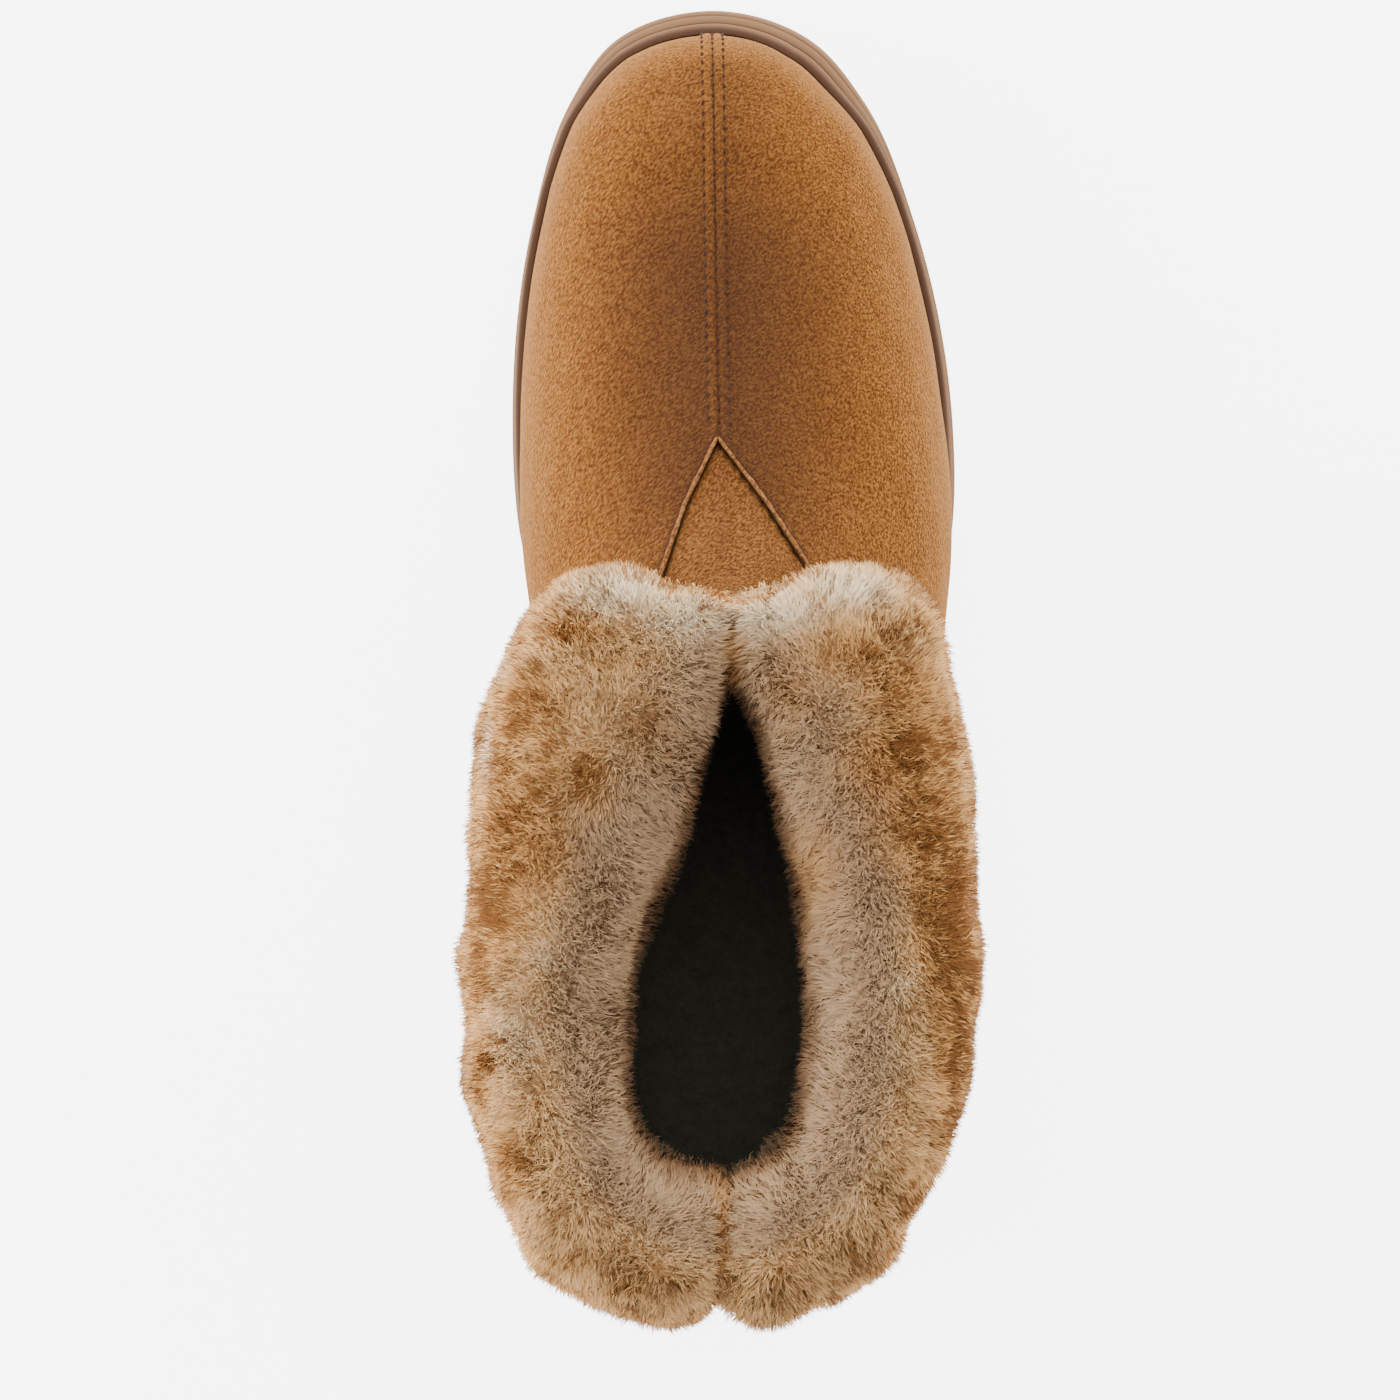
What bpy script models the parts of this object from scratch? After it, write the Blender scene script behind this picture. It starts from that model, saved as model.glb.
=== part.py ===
"""Bootie slipper for the right foot: suede upper, V gusset, shearling cuff, insole and rubber sole.

Metres, +Z up. The shoe is drawn in the frame of its last: Y = 0 at the back end of the sole, the toe
towards +Y, the medial side at -X, the floor at Z = 0. One empty then moves everything so that the
origin lies on the floor under the middle of the heel.
"""

import math

import bmesh
import bpy
import numpy as np

# Driving sizes of the last and of the sole
SOLE_LENGTH = 0.2960
BALL_WIDTH = 0.107
HEEL_SOLE_THICKNESS = 0.022
BALL_SOLE_THICKNESS = 0.015
TOE_SPRING = 0.009
ARCH_RISE = 0.003
HEEL_BEVEL = 0.0015
HEEL_REST_Y = 0.045
BALL_REST_Y = 0.190

# The sole's side: how far it stands out round the upper, and its rim
TOE_MARGIN = 0.0100
RIM_RISE = 0.0045
RIM_THICKNESS = 0.0022
SIDE_GROOVE_DEPTH = 0.0007

# The tread's grooves
TREAD_GROOVE_WIDTH = 0.0035
TREAD_GROOVE_DEPTH = 0.0022
TREAD_PITCH = 0.0125
TREAD_BORDER = 0.0075
TREAD_WAVE = 0.0025
HEEL_GROOVES = 5
BALL_GROOVES = 10

# The upper, its seams and the V gusset let into its throat
UPPER_WALL = 0.0020
COLLAR_RISE = 0.088
COLLAR_SHIFT = 0.0026
SEAM_WIDTH = 0.0050
SEAM_RAISE = 0.0005
SEAM_STEP = 0.0006
GUSSET_WALL = 0.0016
GUSSET_LAP = 0.005
THROAT_LENGTH = 0.0424
THROAT_OVERRUN = 0.0076
THROAT_MEDIAL = 0.0190
THROAT_LATERAL = 0.0275

# The insole
INSOLE_THICKNESS = 0.006

# The cuff: how far its wool stands out round the collar, how high over it, how deep outside and inside
FRONT_PILE = 0.0131
BACK_PILE = 0.0207
SIDE_PILE = 0.0220
CUFF_DEPTH = 0.0475
WOOL_DEPTH_INSIDE = 0.030
HEM_REST = 0.85
HEM_THICKNESS = 0.0015
CROWN_RISE = 0.016
SLIT_WIDTH = 0.0012
CREASE_DEPTH = 0.006
LOCK_RELIEF = 0.0018
LOCK_WIDTH = 0.015
LOCK_LENGTH = 0.016

# Clearances: between two pieces that touch, inside the sole's rim, and round the collar in the wool
FIT_GAP = 0.0003
RIM_GAP = 0.0005
WOOL_GAP = 0.0010

# Mesh density
SIDE_COLUMNS = 26
END_CROWDING = 0.4
TOE_CROWDING = 1.25
UPPER_ROWS = 15
CUFF_SECTIONS = 86
CUFF_PROFILE = 19
WALL_POINTS = 5
DENSE = 240

# Outline of the sole from above: shares of SOLE_LENGTH from the back, and of BALL_WIDTH to each side
SOLE_OUTLINE = (
    # along, medial, lateral
    (0.000, 0.000, 0.000),
    (0.030, 0.212, 0.217),
    (0.100, 0.340, 0.345),
    (0.219, 0.375, 0.388),
    (0.368, 0.358, 0.436),
    (0.488, 0.390, 0.484),
    (0.587, 0.450, 0.538),
    (0.667, 0.462, 0.537),
    (0.831, 0.415, 0.449),
    (0.926, 0.331, 0.338),
    (0.974, 0.236, 0.224),
    (1.000, 0.011, -0.011),
)

# How far the sole's widest outline lies outside the upper, as shares of TOE_MARGIN
SOLE_MARGINS = (
    # along, medial, lateral
    (0.000, 0.45, 0.45),
    (0.650, 0.48, 0.54),
    (0.850, 0.46, 0.56),
    (0.905, 0.56, 0.72),
    (0.945, 0.72, 0.94),
    (0.980, 0.94, 1.04),
    (1.000, 1.00, 1.00),
)

# Outline of the collar's edge: shares of the collar's length and of its half width on each side
COLLAR_OUTLINE = (
    # along, medial, lateral
    (0.00, 0.00, 0.00),
    (0.04, 0.42, 0.42),
    (0.15, 0.80, 0.80),
    (0.40, 1.00, 1.00),
    (0.65, 0.90, 0.92),
    (0.85, 0.62, 0.66),
    (0.95, 0.34, 0.38),
    (1.00, 0.00, 0.00),
)

# Level lines of the upper, from the feather line up to the collar. Rear and front are shares of the
# feather line's length, medial and lateral of its half widths, the rises of COLLAR_RISE. Waist fills
# the outline's waist, and collar blends the outline from the feather line's to the collar's.
UPPER_LEVELS = (
    # name, rear, front, medial, lateral, rear rise, side rise, front rise, waist, collar
    ("feather", 0.000, 1.000, 1.000, 1.000, 0.000, 0.000, 0.000, 0.00, 0.00),
    ("wall", -0.006, 1.003, 1.008, 1.008, 0.100, 0.100, 0.075, 0.05, 0.00),
    ("bulge", -0.010, 0.999, 1.018, 1.012, 0.250, 0.240, 0.165, 0.10, 0.00),
    ("shoulder", -0.008, 0.980, 1.000, 0.995, 0.400, 0.380, 0.275, 0.13, 0.02),
    ("toe top", -0.003, 0.937, 0.955, 0.955, 0.520, 0.495, 0.380, 0.13, 0.06),
    ("low vamp", 0.003, 0.862, 0.895, 0.905, 0.610, 0.590, 0.490, 0.11, 0.12),
    ("vamp", 0.009, 0.765, 0.845, 0.845, 0.690, 0.670, 0.600, 0.08, 0.22),
    ("high vamp", 0.015, 0.670, 0.810, 0.790, 0.760, 0.740, 0.705, 0.05, 0.36),
    ("instep", 0.020, 0.590, 0.790, 0.745, 0.830, 0.810, 0.810, 0.03, 0.55),
    ("throat", 0.025, 0.533, 0.780, 0.715, 0.910, 0.895, 0.925, 0.00, 0.80),
    ("collar", 0.028, 0.505, 0.780, 0.700, 1.000, 1.000, 1.050, 0.00, 1.00),
)

# The sole's side from the tread up. Height is a share of the side, flare is 1 at the widest outline and
# 0 at the rim, and relief goes in (or out where negative) as a share of SIDE_GROOVE_DEPTH.
SIDE_STEPS = (
    # name, height, flare, relief
    ("tread edge", 0.00, 1.00, 1.8),
    ("foot", 0.09, 1.00, 0.0),
    ("lower band top", 0.40, 0.80, 0.0),
    ("low groove", 0.44, 0.72, 1.0),
    ("rib foot", 0.48, 0.66, 0.0),
    ("rib top", 0.55, 0.52, 0.0),
    ("high groove", 0.59, 0.44, 1.0),
    ("bead foot", 0.64, 0.34, 0.0),
    ("bead belly", 0.78, 0.12, -0.8),
    ("bead top", 0.93, 0.00, 0.0),
    ("rim", 1.00, 0.00, 1.6),
)

# The throat's cut edges: share of its length from the apex back, shares of each side's half width
THROAT_EDGE = (
    # back, medial, lateral
    (0.00, 0.00, 0.00),
    (0.30, 0.42, 0.38),
    (0.62, 0.75, 0.72),
    (1.00, 1.00, 1.00),
)

# Outer outline of the cuff from above: shares of the cuff's length from its back, and of its width
CUFF_OUTLINE = (
    # along, medial, lateral
    (0.024, -0.020, 0.020),
    (0.006, 0.100, 0.085),
    (0.020, 0.190, 0.160),
    (0.073, 0.334, 0.304),
    (0.170, 0.426, 0.398),
    (0.317, 0.483, 0.474),
    (0.478, 0.492, 0.503),
    (0.645, 0.470, 0.488),
    (0.797, 0.449, 0.466),
    (0.925, 0.380, 0.420),
    (0.985, 0.290, 0.360),
    (1.000, 0.160, 0.240),
    (0.978, 0.050, 0.090),
    (0.962, -0.022, 0.022),
)

# Outline of the opening that the wool leaves, in the same shares of the collar's length and width
HOLE_OUTLINE = (
    # along, medial, lateral
    (0.114, -0.023, 0.023),
    (0.129, 0.144, 0.120),
    (0.177, 0.224, 0.208),
    (0.259, 0.260, 0.252),
    (0.353, 0.268, 0.272),
    (0.474, 0.227, 0.252),
    (0.596, 0.125, 0.216),
    (0.715, 0.064, 0.172),
    (0.815, 0.010, 0.125),
    (0.884, -0.043, 0.043),
)

# Round the cuff from its front slit to its back notch: shares of CUFF_DEPTH, WOOL_DEPTH_INSIDE and
# CREASE_DEPTH
CUFF_ROUND = (
    # degrees from the front, hem, inside end, crease
    (0.0, 0.28, 0.51, 1.0),
    (7.0, 0.34, 0.55, 0.4),
    (18.0, 0.50, 0.66, 0.0),
    (32.0, 0.74, 0.82, 0.0),
    (60.0, 0.94, 1.00, 0.0),
    (110.0, 1.00, 1.00, 0.0),
    (160.0, 0.95, 1.00, 0.0),
    (174.0, 0.92, 1.00, 0.5),
    (180.0, 0.90, 1.00, 1.0),
)

# The wool's rounded form in one section. Reach runs from -1 at the opening over 0 at the collar's edge to
# 1 at the outer outline; height runs from 0 at the lower end of that side to 1 at the crown.
CUFF_FORM = (
    # reach, height
    (0.70, 0.00),
    (0.93, 0.10),
    (1.00, 0.34),
    (0.97, 0.62),
    (0.80, 0.86),
    (0.38, 0.99),
    (-0.05, 1.00),
    (-0.55, 0.94),
    (-0.90, 0.76),
    (-1.00, 0.45),
    (-0.93, 0.12),
    (-0.72, 0.00),
)

SUEDE = ("suede", (0.478, 0.253, 0.096), 0.92)
GUSSET_SUEDE = ("gusset_suede", (0.500, 0.262, 0.100), 0.92)
WOOL = ("wool", (0.660, 0.490, 0.330), 1.0)
RUBBER = ("rubber", (0.262, 0.178, 0.124), 0.62)
SOCK = ("sock", (0.035, 0.028, 0.022), 1.0)

# Curves and outlines


def smoothstep(share):
    share = np.clip(share, 0.0, 1.0)
    return share * share * (3.0 - 2.0 * share)


def smooth(knots, rows, places, period=None):
    """Rows of values read between their knots from a smooth curve. With a period the curve is closed."""
    knots, rows = np.asarray(knots, float), np.asarray(rows, float)
    if period is not None:
        knots = np.concatenate([[knots[-1] - period], knots, [knots[0] + period, knots[1] + period]])
        rows = np.concatenate([rows[-1:], rows, rows[:2]])
    chords = np.diff(rows, axis=0) / np.diff(knots)[:, None]
    before, after = np.diff(knots)[:-1, None], np.diff(knots)[1:, None]
    inner = (chords[:-1] * after + chords[1:] * before) / (before + after)
    slopes = np.concatenate([chords[:1], inner, chords[-1:]])
    places = np.asarray(places, float)
    cell = np.clip(np.searchsorted(knots, places, side="right") - 1, 0, len(knots) - 2)
    width = (knots[cell + 1] - knots[cell])[:, None]
    t = (places - knots[cell])[:, None] / width
    return (
        rows[cell] * (1 + 2 * t) * (1 - t) ** 2
        + rows[cell + 1] * t * t * (3 - 2 * t)
        + slopes[cell] * width * t * (1 - t) ** 2
        + slopes[cell + 1] * width * t * t * (t - 1)
    )


def lengths_along(points):
    """Distance from the first point to each point, along the line that they make."""
    steps = np.linalg.norm(np.diff(points, axis=0), axis=1)
    return np.concatenate([[0.0], np.cumsum(steps)])


def outline_loop(table, length, medial_scale, lateral_scale):
    """Closed dense loop (x, y) from a table of (along, medial, lateral).

    It starts at the back, runs up the medial side to the front at index DENSE, and back down the
    lateral side."""
    medial = [(-m * medial_scale, a * length) for a, m, _ in table]
    lateral = [(l * lateral_scale, a * length) for a, _, l in table[-2:0:-1]]
    points = np.array(medial + lateral)
    knots = lengths_along(np.concatenate([points, points[:1]]))
    period, knots = knots[-1], knots[:-1]
    front = knots[len(table) - 1]
    places = np.concatenate(
        [np.linspace(0.0, front, DENSE + 1), np.linspace(front, period, DENSE + 1)[1:-1]]
    )
    return smooth(knots, points, places, period)


def outward(loop):
    """Unit normals of a closed plan loop that runs clockwise seen from above, pointing out of it."""
    ahead = np.roll(loop, -1, axis=0) - np.roll(loop, 1, axis=0)
    normal = np.stack([-ahead[:, 1], ahead[:, 0]], axis=1)
    return normal / np.linalg.norm(normal, axis=1)[:, None]


def column_lengths(total):
    """Places of one side's columns along it: narrow ones for the raised seams at both ends, then close
    together round heel and toe and wider apart along the side."""
    half = SEAM_WIDTH / 2
    edge = half + SEAM_STEP
    share = np.linspace(0.0, 1.0, SIDE_COLUMNS)
    share = share - END_CROWDING * np.sin(2 * math.pi * share) / (2 * math.pi)
    inner = edge + (total - 2 * edge) * share
    return np.concatenate([[0.0, half], inner, [total - half, total]])


def in_columns(loop):
    """A dense closed loop read at the columns that every loft of the shoe shares."""
    closed = np.concatenate([loop, loop[:1]])
    sides = []
    for side in (closed[: DENSE + 1], closed[DENSE:]):
        along = lengths_along(side)
        places = column_lengths(along[-1])
        sides.append(np.stack([np.interp(places, along, side[:, k]) for k in range(side.shape[1])], 1))
    return np.concatenate([sides[0], sides[1][1:-1]])


FRONT_COLUMN = SIDE_COLUMNS + 3
COLUMNS = 2 * FRONT_COLUMN

# The sole's and the last's height lines, as functions of the distance from the back end


def tread_height(y):
    """The underside above the floor: flat under heel and ball, hollow at the arch, sprung at the toe."""
    s = np.asarray(y) / SOLE_LENGTH
    arch = ARCH_RISE * np.sin(math.pi * np.clip((s - 0.30) / 0.24, 0, 1)) ** 2
    toe = TOE_SPRING * np.clip((s - 0.74) / 0.26, 0, 1) ** 1.8
    back = HEEL_BEVEL * np.clip((0.05 - s) / 0.05, 0, 1) ** 2
    return arch + toe + back


def seat_height(y):
    """The sole's top face inside its rim, which carries insole and upper."""
    s = np.asarray(y) / SOLE_LENGTH
    fall = (HEEL_SOLE_THICKNESS - BALL_SOLE_THICKNESS) * smoothstep((s - 0.28) / 0.32)
    toe = TOE_SPRING * np.clip((s - 0.74) / 0.26, 0, 1) ** 1.8
    return HEEL_SOLE_THICKNESS - fall + toe


def margin(loop):
    """How far the sole's widest outline lies outside the upper at each of its points."""
    along, medial, lateral = np.array(SOLE_MARGINS).T
    place = loop[:, 1] / SOLE_LENGTH
    shares = np.where(loop[:, 0] < 0, np.interp(place, along, medial), np.interp(place, along, lateral))
    return TOE_MARGIN * shares


def sole_loop():
    return outline_loop(SOLE_OUTLINE, SOLE_LENGTH, BALL_WIDTH, BALL_WIDTH)


def feather_loop():
    """Where the upper's outer face meets the sole."""
    loop = sole_loop()
    return loop - outward(loop) * margin(loop)[:, None]


# The upper's own function, which the cuff, the gusset, the insole and the sole's rim also read


def unit_shape(loop):
    """A plan loop as (side, along): -1 to 1 across and 0 to 1 along, with its sizes."""
    rear, front = loop[:, 1].min(), loop[:, 1].max()
    medial, lateral = -loop[:, 0].min(), loop[:, 0].max()
    side = np.where(loop[:, 0] < 0, loop[:, 0] / medial, loop[:, 0] / lateral)
    return side, (loop[:, 1] - rear) / (front - rear), (rear, front, medial, lateral)


def upper_levels():
    """The dense level lines of the table, each (2 * DENSE, 3)."""
    side, along, (rear, front, medial, lateral) = unit_shape(feather_loop())
    collar_side, collar_along, _ = unit_shape(outline_loop(COLLAR_OUTLINE, 1.0, 1.0, 1.0))
    length = front - rear
    levels = []
    for _, back, ahead, wide_m, wide_l, rise_back, rise_side, rise_front, waist, collar in UPPER_LEVELS:
        a = (1 - collar) * along + collar * collar_along
        w = (1 - collar) * side + collar * collar_side
        w = w + np.sign(w) * waist * np.exp(-(((a - 0.42) / 0.18) ** 2))
        x = np.where(w < 0, w * medial * wide_m, w * lateral * wide_l) + COLLAR_SHIFT * collar * a * a
        y = rear + length * (back + a * (ahead - back))
        middle = 2 * rise_side - (rise_back + rise_front) / 2
        rise = (1 - a) ** 2 * rise_back + 2 * a * (1 - a) * middle + a * a * rise_front
        z = seat_height(y) + FIT_GAP + rise * COLLAR_RISE
        levels.append(np.stack([x, y, z], 1))
    return levels


def upper_surface():
    """The upper's outer face as a grid (UPPER_ROWS, COLUMNS, 3), from the feather line up to the collar."""
    columns = np.array([in_columns(level) for level in upper_levels()])
    front = columns[:, FRONT_COLUMN]
    knots = lengths_along(front)
    flat = columns.reshape(len(columns), -1)
    places = knots[-1] * np.linspace(0.0, 1.0, UPPER_ROWS) ** TOE_CROWDING
    return smooth(knots, flat, places).reshape(UPPER_ROWS, COLUMNS, 3)


def face_normals(grid):
    """Outward unit normals of a grid whose columns close round the shoe."""
    along = np.gradient(grid, axis=0)
    around = np.roll(grid, -1, axis=1) - np.roll(grid, 1, axis=1)
    normal = np.cross(along, around)
    return normal / np.linalg.norm(normal, axis=2)[:, :, None]


def offset_surface(grid, distance):
    return grid + face_normals(grid) * distance


def with_raised_seams(grid):
    """The grid with the sewn strips of toe and back seam stood out, and a shallow line in their middle."""
    raised = grid.copy()
    normal = face_normals(grid)
    for seam in (0, FRONT_COLUMN):
        for step, share in ((-1, 1.0), (0, 0.45), (1, 1.0)):
            column = (seam + step) % COLUMNS
            raised[:, column] += normal[:, column] * SEAM_RAISE * share
    return raised


# Building meshes


def new_object(name, vertices, faces, collection, material=None):
    mesh = bpy.data.meshes.new(name)
    mesh.from_pydata([tuple(v) for v in vertices], [], faces)
    mesh.update()
    made = bpy.data.objects.new(name, mesh)
    collection.objects.link(made)
    if material:
        mesh.materials.append(material)
    return made


def face_outwards(made):
    """Welds a closed mesh's seams and turns its faces out."""
    cage = bmesh.new()
    cage.from_mesh(made.data)
    bmesh.ops.remove_doubles(cage, verts=cage.verts, dist=1e-6)
    bmesh.ops.recalc_face_normals(cage, faces=cage.faces)
    cage.to_mesh(made.data)
    cage.free()


def shade(made, degrees=35.0):
    made.data.shade_smooth()
    made.data.set_sharp_from_angle(angle=math.radians(degrees))


def grid_faces(rows, columns, closed):
    """Quads between neighbouring rows of a grid, round to the first column again if it is closed."""
    faces = []
    for r in range(rows - 1):
        for c in range(columns if closed else columns - 1):
            n, here, above = (c + 1) % columns, r * columns, (r + 1) * columns
            faces.append((here + c, here + n, above + n, above + c))
    return faces


def ladder_faces(start, columns):
    """Faces that close a loop of columns, each rung joining the medial side to the lateral side."""
    half = columns // 2
    faces = [(start, start + 1, start + columns - 1)]
    for c in range(1, half - 1):
        faces.append((start + c, start + c + 1, start + columns - c - 1, start + columns - c))
    faces.append((start + half - 1, start + half, start + half + 1))
    return faces


def stack_of_loops(name, loops, collection, material=None):
    """A closed solid through loops in the shared columns, its two ends closed rung by rung."""
    rows = len(loops)
    faces = grid_faces(rows, COLUMNS, closed=True)
    faces += ladder_faces(0, COLUMNS)
    faces += ladder_faces((rows - 1) * COLUMNS, COLUMNS)
    made = new_object(name, np.concatenate(loops), faces, collection, material)
    face_outwards(made)
    return made


def prism(name, outline, low, high, collection):
    """An upright prism over a plan outline, as a cutter."""
    count = len(outline)
    vertices = [(x, y, low) for x, y in outline] + [(x, y, high) for x, y in outline]
    faces = [tuple(range(count)), tuple(range(count, 2 * count))]
    faces += [(i, (i + 1) % count, count + (i + 1) % count, count + i) for i in range(count)]
    made = new_object(name, vertices, faces, collection)
    face_outwards(made)
    made.hide_render = True
    made.display_type = "WIRE"
    return made


def boolean(made, cutter, operation):
    modifier = made.modifiers.new(operation.lower(), "BOOLEAN")
    modifier.operation = operation
    modifier.object = cutter


def walled(name, outer, inner, closed, collection, material):
    """A sheet with a real wall, from the grids of its outer and its inner face."""
    rows, columns = outer.shape[:2]
    count = rows * columns
    faces = grid_faces(rows, columns, closed)
    edges = {(a, b) for face in faces for a, b in zip(face, face[1:] + face[:1])}
    rim = [(b, a, count + a, count + b) for a, b in edges if (b, a) not in edges]
    lining = [tuple(count + v for v in reversed(face)) for face in faces]
    vertices = np.concatenate([outer.reshape(-1, 3), inner.reshape(-1, 3)])
    made = new_object(name, vertices, faces + sorted(rim) + lining, collection, material)
    face_outwards(made)
    return made


def finish_of(spec):
    name, colour, roughness = spec
    material = bpy.data.materials.new(name)
    material.use_nodes = True
    shader = material.node_tree.nodes["Principled BSDF"]
    shader.inputs["Base Color"].default_value = (*colour, 1.0)
    shader.inputs["Roughness"].default_value = roughness
    shader.inputs["Metallic"].default_value = 0.0
    return material


# The pieces


def sole_side_loops():
    """The sole's side from the tread edge up to the rim, as loops of (x, y, z)."""
    loop = sole_loop()
    normal, y = outward(loop), loop[:, 1]
    flare_zone = margin(loop) - RIM_GAP - RIM_THICKNESS
    loops = []
    for _, height, flare, relief in SIDE_STEPS:
        inset = (1 - flare) * flare_zone + relief * SIDE_GROOVE_DEPTH
        plan = loop - normal * inset[:, None]
        low, high = tread_height(y), seat_height(y) + RIM_RISE
        z = low + height * (high - low)
        loops.append(in_columns(np.column_stack([plan, z])))
    return loops


def rim_inside_loops():
    """The rim's inner wall, a clearance outside the upper that stands in it, down to the seat."""
    clear = with_raised_seams(offset_surface(upper_surface(), RIM_GAP))
    loops = []
    for rise in (RIM_RISE, 0.0):
        heights = clear[:, :, 2] - seat_height(clear[:, :, 1])
        picked = []
        for c in range(COLUMNS):
            place = np.interp(rise, heights[:, c], np.arange(len(clear)))
            picked.append([np.interp(place, np.arange(len(clear)), clear[:, c, k]) for k in range(2)])
        plan = np.array(picked)
        loops.append(np.column_stack([plan, seat_height(plan[:, 1]) + rise]))
    return loops


def groove_solid(across, middle, top, first):
    """One wavy groove's cutter through its stations, as vertices and faces numbered from first."""
    vertices, faces = [], []
    for x, y, z in zip(across, middle, top):
        for edge in (y - TREAD_GROOVE_WIDTH / 2, y + TREAD_GROOVE_WIDTH / 2):
            vertices += [(x, edge, -TREAD_GROOVE_DEPTH), (x, edge, z)]
    for a in range(first, first + 4 * (len(across) - 1), 4):
        faces += [(a, a + 1, a + 5, a + 4), (a + 1, a + 3, a + 7, a + 5)]
        faces += [(a + 3, a + 2, a + 6, a + 7), (a + 2, a, a + 4, a + 6)]
    last = first + len(vertices) - 4
    faces += [(first, first + 2, first + 3, first + 1), (last, last + 1, last + 3, last + 2)]
    return vertices, faces


def tread_grooves(collection):
    """Wavy cross grooves under ball and heel, which leave a border round the sole's edge."""
    loop = sole_loop()
    medial, lateral = loop[: DENSE + 1], loop[DENSE:][::-1]
    places = [BALL_REST_Y + (n - BALL_GROOVES // 2 + 1.5) * TREAD_PITCH for n in range(BALL_GROOVES)]
    places += [HEEL_REST_Y + (n - HEEL_GROOVES // 2 + 0.5) * TREAD_PITCH for n in range(HEEL_GROOVES)]
    vertices, faces = [], []
    for y in places:
        left = np.interp(y, medial[:, 1], medial[:, 0]) + TREAD_BORDER
        right = np.interp(y, lateral[:, 1], lateral[:, 0]) - TREAD_BORDER
        if right - left < 4 * TREAD_BORDER:
            continue
        across = np.linspace(left, right, 9)
        middle = y + TREAD_WAVE * np.cos(across / BALL_WIDTH * 4 * math.pi)
        top = tread_height(middle) + TREAD_GROOVE_DEPTH
        more_vertices, more_faces = groove_solid(across, middle, top, len(vertices))
        vertices += more_vertices
        faces += more_faces
    made = new_object("tread_groove_cutter", vertices, faces, collection)
    face_outwards(made)
    made.hide_render = True
    made.display_type = "WIRE"
    return made


def make_sole(parts, cutters, material):
    loops = sole_side_loops() + rim_inside_loops()
    made = stack_of_loops("sole", loops, parts, material)
    boolean(made, tread_grooves(cutters), "DIFFERENCE")
    shade(made)
    return made


def collar_box():
    """Where the collar's edge begins and ends along the shoe, and its half widths."""
    collar = upper_levels()[-1]
    return unit_shape(collar[:, :2])[2]


def throat_apex():
    return collar_box()[1] + THROAT_LENGTH


def throat_outline(lap):
    """The V of the throat from above, grown by a lap, from its medial end round the apex."""
    back, medial, lateral = np.array(THROAT_EDGE).T
    y = throat_apex() - back * (THROAT_LENGTH + THROAT_OVERRUN)
    left = np.column_stack([COLLAR_SHIFT * back - medial * THROAT_MEDIAL, y])
    right = np.column_stack([COLLAR_SHIFT * back + lateral * THROAT_LATERAL, y])
    line = np.concatenate([left[::-1], right[1:]])
    ahead = np.gradient(line, axis=0)
    normal = np.column_stack([-ahead[:, 1], ahead[:, 0]]) / np.linalg.norm(ahead, axis=1)[:, None]
    return line + normal * lap


def gusset_depths():
    """How deep the gusset's two faces lie under the upper's outer face."""
    return UPPER_WALL + FIT_GAP, UPPER_WALL + FIT_GAP + GUSSET_WALL


def make_upper(parts, cutters, material):
    surface = upper_surface()
    inside = offset_surface(surface, -UPPER_WALL)
    made = walled("upper", with_raised_seams(surface), inside, True, parts, material)
    high = surface[:, :, 2].max() + CROWN_RISE
    low = BALL_SOLE_THICKNESS + COLLAR_RISE / 3
    boolean(made, prism("throat_cutter", throat_outline(0.0), low, high, cutters), "DIFFERENCE")
    shade(made)
    return made


def make_gusset(parts, cutters, material):
    """The V panel under the throat's edges, on the upper's own surface sunk by its wall."""
    surface = upper_surface()
    start = throat_apex() + 4 * GUSSET_LAP
    first_row = next(r for r, row in enumerate(surface) if row[FRONT_COLUMN, 1] < start)
    reach = SIDE_COLUMNS // 2
    sunk = [offset_surface(surface, -depth) for depth in gusset_depths()]
    outer, inner = (
        grid[first_row:, FRONT_COLUMN - reach : FRONT_COLUMN + reach + 1] for grid in sunk
    )
    made = walled("gusset", outer, inner, False, parts, material)
    low, high = BALL_SOLE_THICKNESS, surface[:, :, 2].max() + CROWN_RISE
    boolean(made, prism("gusset_outline", throat_outline(GUSSET_LAP), low, high, cutters), "INTERSECT")
    shade(made)
    return made


def make_insole(parts, material):
    """A sock that fills the floor inside the upper."""
    loop = feather_loop()
    plan = in_columns(loop - outward(loop) * (UPPER_WALL + 2 * FIT_GAP))
    under = np.column_stack([plan, seat_height(plan[:, 1]) + FIT_GAP])
    top = under + (0.0, 0.0, INSOLE_THICKNESS)
    made = stack_of_loops("insole", [under, top], parts, material)
    shade(made)
    return made


# The cuff, drawn as upright sections through one axis in the middle of the collar


def at_angle(loop, axis, angle):
    """Where a closed loop's chords cross the half plane at an angle from the front, medial side positive:
    the distance from the axis, and the height if the loop has one."""
    side = (loop[:, 0] - axis[0]) * math.cos(angle) + (loop[:, 1] - axis[1]) * math.sin(angle)
    ahead = (loop[:, 1] - axis[1]) * math.cos(angle) - (loop[:, 0] - axis[0]) * math.sin(angle)
    next_side, next_ahead = np.roll(side, -1), np.roll(ahead, -1)
    crossed = np.flatnonzero((side * next_side <= 0) & (side != next_side) & (ahead + next_ahead > 0))
    first = crossed[0]
    share = side[first] / (side[first] - next_side[first])
    radius = ahead[first] + share * (next_ahead[first] - ahead[first])
    if loop.shape[1] < 3:
        return radius
    low, high = loop[first, 2], loop[(first + 1) % len(loop), 2]
    return radius, low + share * (high - low)


def profile_at(grid, axis, angle):
    """The line (radius, height) in which a surface's grid crosses the upright plane, from the top down."""
    return np.array([at_angle(ring, axis, angle) for ring in grid[::-1]])


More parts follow.
